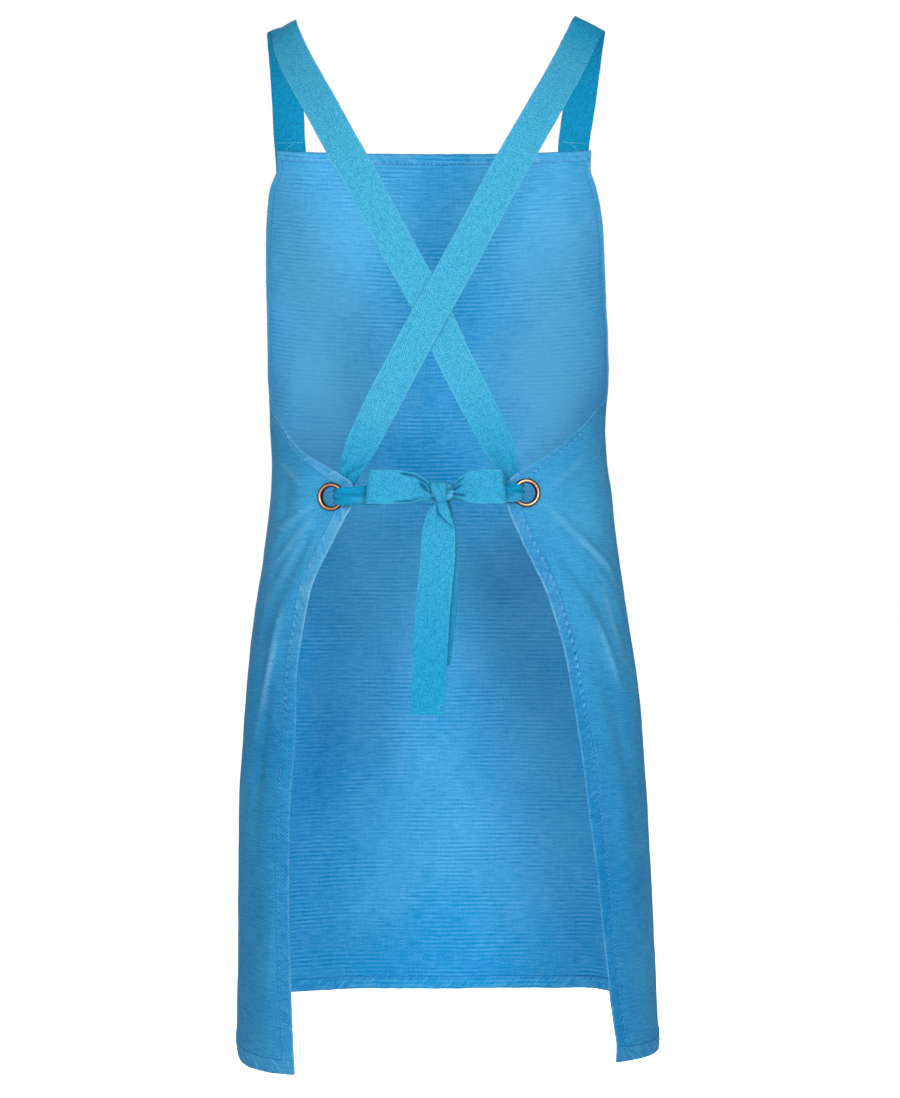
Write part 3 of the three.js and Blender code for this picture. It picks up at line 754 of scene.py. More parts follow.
def canvas_material():
    """Washed cotton canvas. The map is the sheet's flat cut in metres."""
    mat = bpy.data.materials.new("apron_canvas")
    N = Nodes(mat)
    u, v = N.uv()
    flat = N.vec(u, v)
    inside = N.attr("inside")
    outside = N.math("SUBTRACT", 1.0, inside)
    wear_and_highlight = N.attr("wear_and_highlight")
    # painted light and shade, with some washed-out fading, added to the tone
    fade_and_painted_shading = N.attr("fade_and_painted_shading")
    # threads: one pick every 0.62 mm
    weft = N.math("SINE", N.math("MULTIPLY", v, 2 * math.pi / 0.00062))
    warp = N.math("SINE", N.math("MULTIPLY", u, 2 * math.pi / 0.00062))
    weave = N.math("MULTIPLY", weft, warp)
    # slubs: threads that are thicker for a while
    slub_h = N.noise(N.vec(N.math("MULTIPLY", u, 70.0), N.math("MULTIPLY", v, 640.0)), 1.0, 2.0, 0.55)
    slub_v = N.noise(N.vec(N.math("MULTIPLY", u, 700.0), N.math("MULTIPLY", v, 60.0)), 1.0, 2.0, 0.55)
    # bands that run with the weft on the inside and aslant on the outside
    bend = N.noise(N.vec(N.math("MULTIPLY", u, 7.0), N.math("MULTIPLY", v, 11.0)), 1.0, 1.5, 0.5)
    line_in = N.math("ADD", N.math("MULTIPLY", v, 1 / 0.0041), N.math("MULTIPLY", bend, 1.7))
    band_in = N.math("SINE", N.math("MULTIPLY", line_in, 2 * math.pi))
    strong_in = N.noise(N.vec(N.math("MULTIPLY", u, 16.0), N.math("MULTIPLY", v, 42.0), 3.7), 1.0, 1.5, 0.5)
    band_in = N.math("MULTIPLY", band_in, N.ramp(strong_in, 0.36, 0.66, 0.15, 1.0))
    slant = N.math("ADD", N.math("MULTIPLY", N.math("ABSOLUTE", u), -0.62 / 0.0024), N.math("MULTIPLY", v, 0.78 / 0.0024))
    line_out = N.math("ADD", slant, N.math("MULTIPLY", bend, 4.0))
    band_out = N.math("SINE", N.math("MULTIPLY", line_out, 2 * math.pi))
    strong_out = N.noise(flat, 34.0, 1.0, 0.5)
    band_out = N.math("MULTIPLY", band_out, N.ramp(strong_out, 0.4, 0.62, 0.15, 1.0))
    band = N.math("ADD", N.math("MULTIPLY", N.math("MULTIPLY", band_in, 0.85), inside), N.math("MULTIPLY", N.math("MULTIPLY", band_out, 0.75), outside))
    grain = N.noise(flat, 950.0, 2.0, 0.6)
    cloud = N.noise(flat, 15.0, 3.0, 0.55)
    tone = N.math("ADD", N.math("MULTIPLY", band, 0.26), N.math("MULTIPLY", N.math("SUBTRACT", slub_h, 0.5), 0.95))
    tone = N.math("ADD", tone, N.math("MULTIPLY", N.math("SUBTRACT", slub_v, 0.5), 0.4))
    tone = N.math("ADD", tone, N.math("MULTIPLY", N.math("SUBTRACT", grain, 0.5), 1.5))
    tone = N.math("ADD", tone, N.math("MULTIPLY", N.math("SUBTRACT", cloud, 0.5), 0.55))
    tone = N.math("ADD", tone, N.math("MULTIPLY", weave, 0.06))
    tone = N.math("ADD", tone, fade_and_painted_shading)
    fac = N.math("ADD", 0.5, tone, clamp=True)
    # the inside copy of the colour is lighter than the outside one: painted light on the same cloth
    body_out = N.mix(fac, srgb(0, 114, 174), srgb(70, 162, 206))
    body_in = N.mix(fac, srgb(0, 140, 201), srgb(100, 187, 230))
    body = N.mix(inside, body_out, body_in)
    # paler where worn, and painted highlight on fold and pucker ridges
    pale_wear_and_highlight = N.math("MULTIPLY", wear_and_highlight, N.ramp(N.noise(flat, 520.0, 3.0, 0.65), 0.2, 0.8, 0.15, 1.15), clamp=True)
    colour = N.mix(pale_wear_and_highlight, body, srgb(160, 205, 232))
    N.put(N.bsdf.inputs["Base Color"], colour)
    N.bsdf.inputs["Roughness"].default_value = 0.88
    N.bsdf.inputs["Specular IOR Level"].default_value = 0.15
    N.bsdf.inputs["Sheen Weight"].default_value = 0.03
    N.bsdf.inputs["Sheen Roughness"].default_value = 0.5
    height = N.math("ADD", N.math("MULTIPLY", weave, 0.35), N.math("MULTIPLY", slub_h, 0.9))
    height = N.math("ADD", height, N.math("MULTIPLY", slub_v, 0.6))
    height = N.math("ADD", height, N.math("MULTIPLY", band, 0.3))
    height = N.math("ADD", height, N.math("MULTIPLY", grain, 0.7))
    N.put(N.bsdf.inputs["Normal"], N.bump(height, 0.00016, 0.8))
    return mat


def tape_material():
    """Herringbone cotton tape. The map is metres across from the middle and along."""
    mat = bpy.data.materials.new("apron_tape")
    N = Nodes(mat)
    u, v = N.uv()
    flat = N.vec(u, v)
    deep = N.attr("deep")
    painted_shade = N.attr("painted_shade")
    au = N.math("ABSOLUTE", u)
    pitch = 0.0022
    rib = N.math("SINE", N.math("MULTIPLY", N.math("ADD", N.math("MULTIPLY", au, 1.15), v), 2 * math.pi / pitch))
    broken = N.noise(flat, 170.0, 1.0, 0.5)
    rib = N.math("MULTIPLY", rib, N.ramp(broken, 0.36, 0.6, 0.25, 1.0))
    fine = N.math("SINE", N.math("MULTIPLY", N.math("SUBTRACT", v, N.math("MULTIPLY", au, 0.6)), 2 * math.pi / 0.0009))
    grain = N.noise(flat, 620.0, 2.0, 0.65)
    patch = N.noise(N.vec(N.math("MULTIPLY", u, 240.0), N.math("MULTIPLY", v, 170.0)), 1.0, 3.0, 0.65)
    tone = N.math("MULTIPLY", rib, 0.44)
    tone = N.math("ADD", tone, N.math("MULTIPLY", fine, 0.06))
    tone = N.math("ADD", tone, N.math("MULTIPLY", N.math("SUBTRACT", grain, 0.5), 2.0))
    tone = N.math("ADD", tone, N.math("MULTIPLY", N.math("SUBTRACT", patch, 0.5), 0.8))
    fac = N.math("ADD", 0.5, tone, clamp=True)
    # a lit and a shaded copy of the tape's colour, mixed place by place: painted light and shade
    upper = N.mix(fac, srgb(4, 134, 180), srgb(86, 184, 216))
    lower = N.mix(fac, srgb(0, 106, 156), srgb(0, 168, 212))
    body = N.mix(painted_shade, upper, lower)
    edge = N.ramp(au, 0.0132, 0.0147)
    body = N.mix(N.math("MULTIPLY", N.math("MULTIPLY", edge, 0.22), N.math("SUBTRACT", 1.0, painted_shade)), body, srgb(120, 204, 234))
    # painted shade: darker in the creases and hollows
    colour = N.mix(N.math("MULTIPLY", deep, 0.8, clamp=True), body, srgb(0, 84, 128))
    N.put(N.bsdf.inputs["Base Color"], colour)
    N.bsdf.inputs["Roughness"].default_value = 0.82
    N.bsdf.inputs["Specular IOR Level"].default_value = 0.18
    N.bsdf.inputs["Sheen Weight"].default_value = 0.04
    N.bsdf.inputs["Sheen Roughness"].default_value = 0.45
    height = N.math("ADD", N.math("MULTIPLY", rib, 0.55), N.math("MULTIPLY", fine, 0.25))
    height = N.math("ADD", height, N.math("MULTIPLY", grain, 0.9))
    N.put(N.bsdf.inputs["Normal"], N.bump(height, 0.00018, 0.8))
    return mat


def thread_material(name, colour):
    mat = bpy.data.materials.new(name)
    N = Nodes(mat)
    N.bsdf.inputs["Base Color"].default_value = colour
    N.bsdf.inputs["Roughness"].default_value = 0.75
    return mat


def copper_material():
    mat = bpy.data.materials.new("antique_copper")
    N = Nodes(mat)
    crest = N.attr("crest")
    geo = N.tree.nodes.new("ShaderNodeTexCoord")
    spots = N.noise(geo.outputs["Object"], 700.0, 3.0, 0.6)
    polish = N.math("ADD", crest, N.math("MULTIPLY", N.math("SUBTRACT", spots, 0.5), 0.5), clamp=True)
    colour = N.mix(polish, srgb(66, 40, 28), srgb(206, 158, 124))
    N.put(N.bsdf.inputs["Base Color"], colour)
    N.bsdf.inputs["Metallic"].default_value = 1.0
    N.put(N.bsdf.inputs["Roughness"], N.math("SUBTRACT", 0.5, N.math("MULTIPLY", polish, 0.2)))
    N.put(N.bsdf.inputs["Normal"], N.bump(spots, 0.00005, 0.3))
    return mat


CANVAS = canvas_material()
TAPE = tape_material()
THREAD = thread_material("apron_thread", srgb(88, 166, 212))
TACK = thread_material("apron_tack_thread", srgb(98, 188, 216))
TOP_THREAD = thread_material("apron_top_thread", srgb(124, 188, 226))
COPPER = copper_material()


# ---------------------------------------------------------------- the cloth
def edge_of(side, z0):
    return cut[side](z0) * (1 if side == "left" else -1)


# Lighter and darker places on the inside of the front, set one by one.
# Their gains are painted light and shade, with some washed-out fading.
SPOTS = table(
    "x z rx rz gain",
    """108 -200 46 80 0.32
    118 -335 52 85 0.54
    -108 -200 46 80 0.28
    -120 -335 52 85 0.54
    0 -250 48 160 -0.22
    0 -395 75 40 -0.22
    0 -505 140 75 0.14
    -118 -690 50 150 0.14
    108 -690 44 130 -0.12
    0 -720 70 110 -0.05
    0 -890 170 75 -0.36
    168 -650 44 250 -0.36
    -168 -650 44 250 -0.26""",
)
# Lighter and darker places on the outside of the flaps: painted light and shade.
OUT_SPOTS = table(
    "x z rx rz gain",
    """-130 -470 60 100 0.16
    -150 -820 60 200 -0.22
    150 -700 70 220 -0.18
    120 -450 60 60 0.24""",
)


def spots_at(p, spots, front):
    total = np.zeros(p.shape[:-1])
    for k in range(len(spots["x"])):
        c = {n: v[k] for n, v in spots.items()}
        total += c["gain"] * np.exp(-(((p[..., 0] - c["x"]) / c["rx"]) ** 2) - ((p[..., 2] - c["z"]) / c["rz"]) ** 2)
    near = step(p[..., 1], 0, 50)
    return total * ((1 - near) if front else near)


def make_body():
    rows, cols = 236, 205
    z0 = np.linspace(TOP_Z - 0.9, NOMINAL_HEM_Z + 0.9, rows)[:, None]
    t = np.linspace(-1, 1, cols)[None, :]
    share = t * (1.25 - 0.25 * t * t)
    left, right = cut["left"](z0) - 0.9, cut["right"](z0) - 0.9
    a = np.where(share >= 0, share * left, share * right)
    z0 = z0 + 0 * a
    p, n = with_normal(a, z0)
    n = outward(p, n)
    # the sheet passes clear of the eyelet holes
    keep = np.ones((rows - 1, cols - 1), bool)
    for e in EYELETS.values():
        rel = p - e["at"]
        off = rel @ e["normal"]
        plane = rel - off[..., None] * e["normal"]
        r = np.linalg.norm(plane, axis=-1)
        near = (r < EYE_HOLE) & (np.abs(off) < 20)
        quad = near[:-1, :-1] | near[1:, :-1] | near[1:, 1:] | near[:-1, 1:]
        keep &= ~quad
        # points on the rim of the hole are drawn onto its circle
        rim = np.zeros_like(near)
        for di, dj in ((0, 0), (1, 0), (0, 1), (1, 1)):
            rim[di : rows - 1 + di, dj : cols - 1 + dj] |= quad
        rim &= ~near
        scale = ((EYE_HOLE + 0.3) / np.maximum(r, 1))[..., None]
        flat = e["at"] + plane * scale + off[..., None] * e["normal"]
        p = np.where(rim[..., None], flat, p)
    outer = p + n * (CLOTH / 2)
    inner = p - n * (CLOTH / 2)
    ids = np.arange(rows * cols).reshape(rows, cols)
    q = np.stack([ids[:-1, :-1], ids[1:, :-1], ids[1:, 1:], ids[:-1, 1:]], -1)[keep]
    faces = [q, q[:, ::-1] + rows * cols]
    # rim walls round the sheet and the holes
    edges = {}
    for f in q:
        for k in range(4):
            key = (f[k], f[(k + 1) % 4])
            edges[key] = True
    wall = [(b, a_, a_ + rows * cols, b + rows * cols) for (a_, b) in edges if (b, a_) not in edges]
    faces.append(np.array(wall))
    verts = np.concatenate([outer.reshape(-1, 3), inner.reshape(-1, 3)])
    uv = np.stack([a, z0], -1).reshape(-1, 2) * 0.001
    uv = np.concatenate([uv, uv + [0, 1.2]])
    inside = np.concatenate([np.zeros(rows * cols), np.ones(rows * cols)])
    # paler along the fold ridges: wear and painted highlight
    crest = fold_height(p, form["side_y"](p[..., 2]), "pale").ravel()
    # painted light and shade on the inside and the outside of the sheet
    spots = spots_at(p, SPOTS, True).ravel()
    out_spots = spots_at(p, OUT_SPOTS, False).ravel()
    used = np.zeros(len(verts), bool)
    faces = np.concatenate(faces)
    used[faces.ravel()] = True
    new = np.cumsum(used) - 1
    wear_and_highlight = np.concatenate([crest, np.zeros(rows * cols)])
    fade_and_painted_shading = np.concatenate([out_spots, spots])
    obj = make_object(
        "apron_cloth",
        verts[used],
        new[faces],
        uv[used],
        {"inside": inside[used], "wear_and_highlight": wear_and_highlight[used], "fade_and_painted_shading": fade_and_painted_shading[used]},
        [CANVAS],
    )
    return orient(obj)


def resample(path, spacing):
    seg = np.linalg.norm(np.diff(path, axis=0), axis=1)
    s = np.concatenate([[0], np.cumsum(seg)])
    n = max(int(round(s[-1] / spacing)), 2)
    t = np.linspace(0, s[-1], n + 1)
    return np.stack([np.interp(t, s, path[:, 0]), np.interp(t, s, path[:, 1])], 1), t


def hem_path(which):
    """The free edge in the flat (a, z0), and the way in."""
    if which in ("left", "right"):
        z = np.linspace(TOP_Z, NOMINAL_HEM_Z, 3000)
        path = np.stack([edge_of(which, z), z], 1)
    else:
        z = TOP_Z if which == "top" else NOMINAL_HEM_Z
        path = np.stack([np.linspace(edge_of("right", z), edge_of("left", z), 800), np.full(800, z)], 1)
    e, s = resample(path, 1.5)
    t = np.gradient(e, axis=0)
    k = np.ones(5) / 5
    for c in range(2):
        t[2:-2, c] = np.convolve(t[:, c], k, "valid")
    t = unit(t)
    n = np.stack([t[:, 1], -t[:, 0]], 1)
    middle = np.array([0.0, -500.0])
    if np.mean(np.sum(n * (middle - e), 1)) < 0:
        n = -n
    # near a pointed corner the hem can't be deeper than the corner leaves room for
    deep = np.full(len(e), 10.5 if which == "top" else HEM_DEEP)
    if which in ("left", "right"):
        deep = 5.5 + (HEM_DEEP - 5.5) * step(-e[:, 1], 385, 428)
    if which in ("left", "right"):
        for d in np.arange(2.0, HEM_DEEP + 0.1, 0.5)[::-1]:
            q = e + n * d
            dist = np.min(np.linalg.norm(q[:, None] - e[None, ::2], axis=2), axis=1)
            bad = dist < d - 0.35
            deep[bad] = np.minimum(deep[bad], d - 0.5)
        for _ in range(6):
            deep[1:-1] = np.minimum(deep[1:-1], (deep[:-2] + deep[2:] + 2 * deep[1:-1]) / 4 + 0.2)
    return e, s, n, np.maximum(deep, 2.0)


def pucker(s, d, seed):
    """How a washed hem gathers between its stitches: short slanted ripples."""
    q = s + 0.9 * d + 1.2 * noise(s / 20, d / 8, seed + 3)
    big = noise(q / 4.6, d / 11.0, seed)
    small = noise(q / 2.6, d / 5.0, seed + 1)
    rope = np.sin(2 * np.pi * q / 5.6) * (0.6 + 0.4 * noise(s / 25, 0.5, seed + 2))
    return big * 0.6 + small * 0.4 + rope * 0.45


HEM_SEED = {"left": 21, "right": 31, "top": 41, "bottom": 51}


def liveliness(which, e):
    """The bib's sides lie flat, the flaps' edges are gathered most."""
    if which in ("top", "bottom"):
        return np.full(len(e), 0.6 if which == "top" else 1.15)
    return step(-e[:, 1], 340, 390) * (1 - 0.35 * step(-e[:, 1], 560, 640))


def hem_points(which, extra=0.0):
    e, s, n, deep = hem_path(which)
    lift = 0.12 + extra
    seed = HEM_SEED[which]
    live = liveliness(which, e)
    # (share of the depth, offset from the middle of the cloth, side: 1 outside, 0 wrap, -1 inside)
    outer = [(1.0, -0.15, 1), (0.97, 0.06, 1), (0.93, 0.12, 1)]
    outer += [(x, 0.14 + 0.1 * math.sin(math.pi * x), 1) for x in np.linspace(0.84, 0.1, 8)]
    wrap = [(0.045, 0.02, 0), (0.0, -0.45, 0), (0.01, -1.0, 0), (0.05, -1.35, 0)]
    inner = [(x, -1.55, -1) for x in np.linspace(0.12, 0.9, 8)]
    inner += [(0.945, -1.45, -1), (0.96, -1.1, -1), (0.955, -0.75, -1)]
    spec = outer + wrap + inner
    P = []
    for share, off, side in spec:
        d = share * deep
        w = np.sin(np.pi * np.clip(share, 0, 1)) ** 0.6
        pk = pucker(s, d, seed)
        if side > 0:
            o = CLOTH / 2 + off + extra + (0.12 + 0.46 * live) * w * pk
            if share > 0.99:
                o = np.full(len(s), CLOTH / 2 - 0.2)
        elif side < 0:
            o = CLOTH / 2 + off - extra - (0.10 + 0.30 * live) * w * pk
            if share > 0.95 and off > -1.2:
                o = np.full(len(s), CLOTH / 2 + off)
        else:
            o = CLOTH / 2 + off + (extra if off > -0.4 else -extra if off < -0.9 else 0)
            o = o + 0.12 * pk
        wob = 0.22 * noise(s / 7.0, 0.5, seed + 5) * (1 - share)
        P.append((d + wob, o, pk, side, share))
    return e, s, n, deep, P


def within(which, q):
    """At the corners a hem stays inside the two edges that meet there."""
    if which in ("left", "right"):
        return np.stack([q[:, 0], np.clip(q[:, 1], NOMINAL_HEM_Z + 0.5, TOP_Z - 0.5)], 1)
    lo, hi = edge_of("right", q[:, 1]) + 0.5, edge_of("left", q[:, 1]) - 0.5
    return np.stack([np.clip(q[:, 0], lo, hi), q[:, 1]], 1)


def make_hem(which, extra=0.0):
    e, s, n, deep, P = hem_points(which, extra)
    S, K = len(s), len(P)
    verts = np.zeros((S, K, 3))
    uv = np.zeros((S, K, 2))
    wear_and_highlight = np.zeros((S, K))
    dark = np.zeros((S, K))
    live = liveliness(which, e)
    along = which in ("left", "right")
    for k, (d, o, pk, side, share) in enumerate(P):
        q = within(which, e + n * np.asarray(d)[:, None])
        p, nn = with_normal(q[:, 0], q[:, 1])
        nn = outward(p, nn)
        verts[:, k] = p + nn * np.asarray(o)[:, None]
        # the spots' painted light and shade carry on into the hem
        ground = spots_at(p, OUT_SPOTS, False) if side >= 0 else spots_at(p, SPOTS, True)
        fold = 0.0 if side > 0 else (-share * deep * 2 if side < 0 else 0.0)
        uv[:, k] = (q + n * np.asarray(fold)[..., None] if side < 0 else q) * 0.001
        ridge = np.clip(0.25 + 0.5 * pk, 0, 1)
        if which in ("top", "bottom"):
            strong = np.full(S, 0.22)
        else:
            strong = 0.2 + 0.35 * step(-e[:, 1], 345, 385) + 0.45 * step(-e[:, 1], 400, 440)
            strong = 0.85 * strong * (1 - 0.72 * step(-e[:, 1], 510, 590))
            strong = strong + 0.2 * step(-e[:, 1], 800, 880)
        patchy = np.clip(0.55 + 0.75 * noise(s / 9.0, 0.3 + d / 14, HEM_SEED[which] + 9), 0, 1.2)
        rim = 0.95 if side == 0 else 0.65 * max(0, 1 - share * 7)
        face = (1 - 0.9 * step(-e[:, 1], 505, 585)) * (1.0 if which == "left" else 0.4) if along else 1.0
        # wear on the folded edge, painted highlight on the pucker ridges
        wear_and_highlight[:, k] = strong * ((0.16 + 0.46 * ridge * patchy) * (face if side > 0 else 0.2) + rim * (0.45 + 0.55 * patchy))
        # the turned edge and its stitch line lie in a fine shadow
        line = (0.7 * (share > 0.95) + 0.35 * (0.88 < share <= 0.95)) * (0.4 if which in ("top", "bottom") else 1.0)
        # painted shadow along that line, and painted shade in the pucker dips beside lighter ridges
        dark[:, k] = ground - line * (1 if side > 0 else 0.5) + (0.20 if along else 0.30) * np.clip(pk, -1, 1) * (0.3 + 0.7 * live)
        wear_and_highlight[:, k] *= 1 - line
        # painted shade: the side hems' outer face is darkened
        if side > 0 and along:
            dark[:, k] -= (0.16 if which == "right" else 0.05) * min(1, share * 6)
        # painted highlight and shade on small gathers between the stitches
        ladder = np.sin(2 * np.pi * (s + 0.6 * d) / 6.7 + 2.2 * noise(s / 30, 0.5, HEM_SEED[which] + 12))
        near = np.exp(-(((share - 0.80) / 0.09) ** 2)) * live * (1 - 0.7 * step(-e[:, 1], 600, 690)) * (0.55 + 0.45 * noise(s / 22, 0.7, HEM_SEED[which] + 14))
        dark[:, k] += 0.75 * ladder * near * (1.0 if which == "right" else 0.6)
        wear_and_highlight[:, k] += 0.5 * np.clip(ladder, 0, 1) * near * (1.0 if which == "right" else 0.5)
    faces = grid_faces(S, K, wrap=True).tolist()
    faces.append(list(range(K)))
    faces.append([(S - 1) * K + k for k in range(K)][::-1])
    inside = np.zeros((S, K))
    for k, (d, o, pk, side, share) in enumerate(P):
        if side < 0:
            inside[:, k] = 1.0 if which in ("top", "bottom") else fade(-e[:, 1], 325, 350)
    obj = make_object(
        "hem_" + which,
        verts.reshape(-1, 3),
        faces,
        uv.reshape(-1, 2),
        {"inside": inside.ravel(), "wear_and_highlight": wear_and_highlight.ravel(), "fade_and_painted_shading": dark.ravel()},
        [CANVAS],
    )
    return orient(obj)


# ---------------------------------------------------------------- stitches
def capsules(starts, ends, normals, radius, sides=6):
    """Short rounded threads joined in one mesh: arrays of start and end points."""
    starts, ends, normals = map(np.asarray, (starts, ends, normals))
    along = unit(ends - starts)
    up = unit(normals - along * np.sum(normals * along, -1, keepdims=True))
    across = np.cross(along, up)
    length = np.linalg.norm(ends - starts, axis=-1, keepdims=True)
    rings = [(0.0, 0.25), (0.1, 0.8), (0.5, 1.0), (0.9, 0.8), (1.0, 0.25)]
    verts, faces = [], []
    n = len(starts)
    for t, r in rings:
        for k in range(sides):
            a = 2 * math.pi * k / sides
            verts.append(
                starts
                + along * length * t
                + (across * math.cos(a) + up * math.sin(a) * 0.8) * radius * r
                + up * radius * 0.9 * math.sin(math.pi * t)
            )
    V = np.stack(verts, 1).reshape(-1, 3)
    per = len(rings) * sides
    for i in range(len(rings) - 1):
        for k in range(sides):
            k2 = (k + 1) % sides
            faces.append([i * sides + k, i * sides + k2, (i + 1) * sides + k2, (i + 1) * sides + k])
    F = np.array(faces)
    F = (F[None] + (np.arange(n) * per)[:, None, None]).reshape(-1, 4)
    caps = []
    for i in range(n):
        caps.append([i * per + k for k in range(sides)][::-1])
        caps.append([i * per + (len(rings) - 1) * sides + k for k in range(sides)])
    return V, F.tolist() + caps


def hem_stitches(which, extra=0.0):
    e, s, n, deep = hem_path(which)
    total = s[-1]
    pitch, long = 3.7, 2.7
    starts_at = np.arange(3.0, total - 5.0, pitch)
    if which in ("left", "right"):
        starts_at = starts_at[np.interp(starts_at, s, -e[:, 1]) > 352]
    out = []
    for face in (1, -1):
        ends = []
        for shift in (0.0, long):
            t = starts_at + shift
            depth = np.interp(t, s, deep) * 0.9
            q = np.stack([np.interp(t, s, e[:, c] + n[:, c] * 0) for c in range(2)], 1)
            nn2 = np.stack([np.interp(t, s, n[:, c]) for c in range(2)], 1)
            q = q + unit(nn2) * depth[:, None]
            p, nn = with_normal(q[:, 0], q[:, 1])
            nn = outward(p, nn)
            off = (CLOTH / 2 + 0.10 + extra) if face > 0 else -(-CLOTH / 2 + 1.5 + extra)
            ends.append((p + nn * off, nn * face))
        out.append((ends[0][0], ends[1][0], ends[0][1]))
    starts = np.concatenate([o[0] for o in out])
    ends = np.concatenate([o[1] for o in out])
    norms = np.concatenate([o[2] for o in out])
    return starts, ends, norms


def make_stitches(name, groups, radius=0.26, material=None):
    starts = np.concatenate([g[0] for g in groups])
    ends = np.concatenate([g[1] for g in groups])
    norms = np.concatenate([g[2] for g in groups])
    V, F = capsules(starts, ends, norms, radius)
    return make_object(name, V, F, materials=[material or THREAD])


# ---------------------------------------------------------------- tapes
def route(rows, spacing=1.6):
    """A centripetal Catmull-Rom curve through the rows, with the width, thickness and way across."""
    P = np.stack([rows["x"], rows["y"], rows["z"]], 1)
    n = len(P) - 1
    ext = np.vstack([2 * P[0] - P[1], P, 2 * P[-1] - P[-2]])
    out = []
    for i in range(n):
        p0, p1, p2, p3 = ext[i], ext[i + 1], ext[i + 2], ext[i + 3]
        d0, d1, d2 = (max(np.linalg.norm(b - a) ** 0.5, 1e-4) for a, b in ((p0, p1), (p1, p2), (p2, p3)))
        t1 = ((p1 - p0) / d0 - (p2 - p0) / (d0 + d1) + (p2 - p1) / d1) * d1
        t2 = ((p2 - p1) / d1 - (p3 - p1) / (d1 + d2) + (p3 - p2) / d2) * d1
        steps = max(2, int(np.linalg.norm(p2 - p1) / spacing))
        for k in range(steps + (i == n - 1)):
            t = k / steps
            c2 = -3 * p1 + 3 * p2 - 2 * t1 - t2
            c3 = 2 * p1 - 2 * p2 + t1 + t2
            mid = p1 + t1 * t + c2 * t * t + c3 * t**3
            tan = t1 + 2 * c2 * t + 3 * c3 * t * t
            s = t * t * (3 - 2 * t)
            row = {c: rows[c][i] + (rows[c][i + 1] - rows[c][i]) * (s if c in "wt" else t) for c in ("ax", "ay", "az", "w", "t")}
            out.append((mid, unit(tan), np.array([row["ax"], row["ay"], row["az"]]), row["w"], row["t"]))
    mid = np.array([o[0] for o in out])
    tan = np.array([o[1] for o in out])
    across = np.array([o[2] for o in out])
    across = unit(across - tan * np.sum(across * tan, 1, keepdims=True))
    outv = unit(np.cross(across, tan))
    s = np.concatenate([[0], np.cumsum(np.linalg.norm(np.diff(mid, axis=0), axis=1))])
    return dict(mid=mid, tan=tan, across=across, out=outv, w=np.array([o[3] for o in out]), t=np.array([o[4] for o in out]), s=s)


ACROSS = np.concatenate([[-1.0, -0.985], np.linspace(-0.94, 0.94, 21), [0.985, 1.0]])
ACROSS_FINE = np.concatenate([[-1.0, -0.99, -0.975], np.linspace(-0.95, 0.95, 55), [0.975, 0.99, 1.0]])


def soften(h, across, along):
    """Mean of h over a few neighbours each way."""
    for axis, reach in ((1, across), (0, along)):
        if reach < 1:
            continue
        pad = [(0, 0), (0, 0)]
        pad[axis] = (reach, reach)
        q = np.pad(h, pad, mode="edge")
        total = 0
        for k in range(2 * reach + 1):
            total = total + (q[:, k : k + h.shape[1]] if axis == 1 else q[k : k + h.shape[0]])
        h = total / (2 * reach + 1)
    return h


def ribbon(name, mid, across, out, w, s, profile, thick=TAPE_THICK, seed=0, v0=0.0, fine=False, painted_shade=0.0, top_shade=0.0, shade=None):
    """A tape: one flat section after another; profile(u, s, w) is how far the middle stands out."""
    row = ACROSS_FINE if fine else ACROSS
    S, K = len(s), len(row)
    u = row[None, :]
    half = (w / 2)[:, None]
    h = profile(u, s[:, None], w[:, None])
    h = h + 0.10 * noise(s[:, None] / 9 + 0 * u, u * 2 + seed, 60 + seed)
    # how deep each place lies between its neighbours: painted shade darkens the tape there
    reach = (6, 5) if fine else (2, 3)
    deep = np.clip((soften(soften(h, *reach), *reach) - h) / 0.8, 0, 1)
    if shade is not None:
        deep = np.clip(deep + shade(u, s[:, None], w[:, None]), 0, 1)
    edge_wob = 0.15 * noise(s[:, None] / 6.0, np.sign(u) * 3 + seed, 70 + seed) * np.abs(u) ** 6
    centre = mid[:, None] + across[:, None] * (u * half + edge_wob)[..., None] + out[:, None] * h[..., None]
    # the section's own normal
    dc = np.gradient(centre, axis=1)
    ds = np.gradient(centre, axis=0)
    n = unit(np.cross(dc, ds))
    flip = np.sum(n * out[:, None], -1, keepdims=True) < 0
    n = np.where(flip, -n, n)
    rnd = np.sqrt(np.clip(1 - (np.clip(np.abs(u) - 0.94, 0, None) / 0.06) ** 2, 0.0, 1))
    t = thick / 2 * (0.25 + 0.75 * rnd)
    top = centre + n * t[..., None]
    low = centre - n * t[..., None]
    ring = np.concatenate([top, low[:, ::-1]], 1)
    K2 = 2 * K
    uv_t = np.stack([np.broadcast_to(u * 0.015, (S, K)), np.broadcast_to(s[:, None] * 0.001 + v0, (S, K))], -1)
    uv = np.concatenate([uv_t, uv_t[:, ::-1] + [0.0, 3.0]], 1)
    faces = grid_faces(S, K2, wrap=True).tolist()
    for base, rev in ((0, False), ((S - 1) * K2, True)):
        for k in range(K - 1):
            f = [base + k, base + k + 1, base + K2 - 2 - k, base + K2 - 1 - k]
            faces.append(f[::-1] if rev else f)
    deep = np.broadcast_to(deep, (S, K))
    # how much of the tape's shaded colour each face takes: painted shade
    attrs = {
        "deep": np.concatenate([deep, deep[:, ::-1]], 1).ravel(),
        "painted_shade": np.concatenate([np.broadcast_to(np.reshape(top_shade, (-1, 1)), (S, K)), np.broadcast_to(painted_shade, (S, K))[:, ::-1]], 1).ravel(),
    }
    obj = make_object(name, ring.reshape(-1, 3), faces, uv.reshape(-1, 2), attrs, [TAPE])
    return orient(obj), centre, n


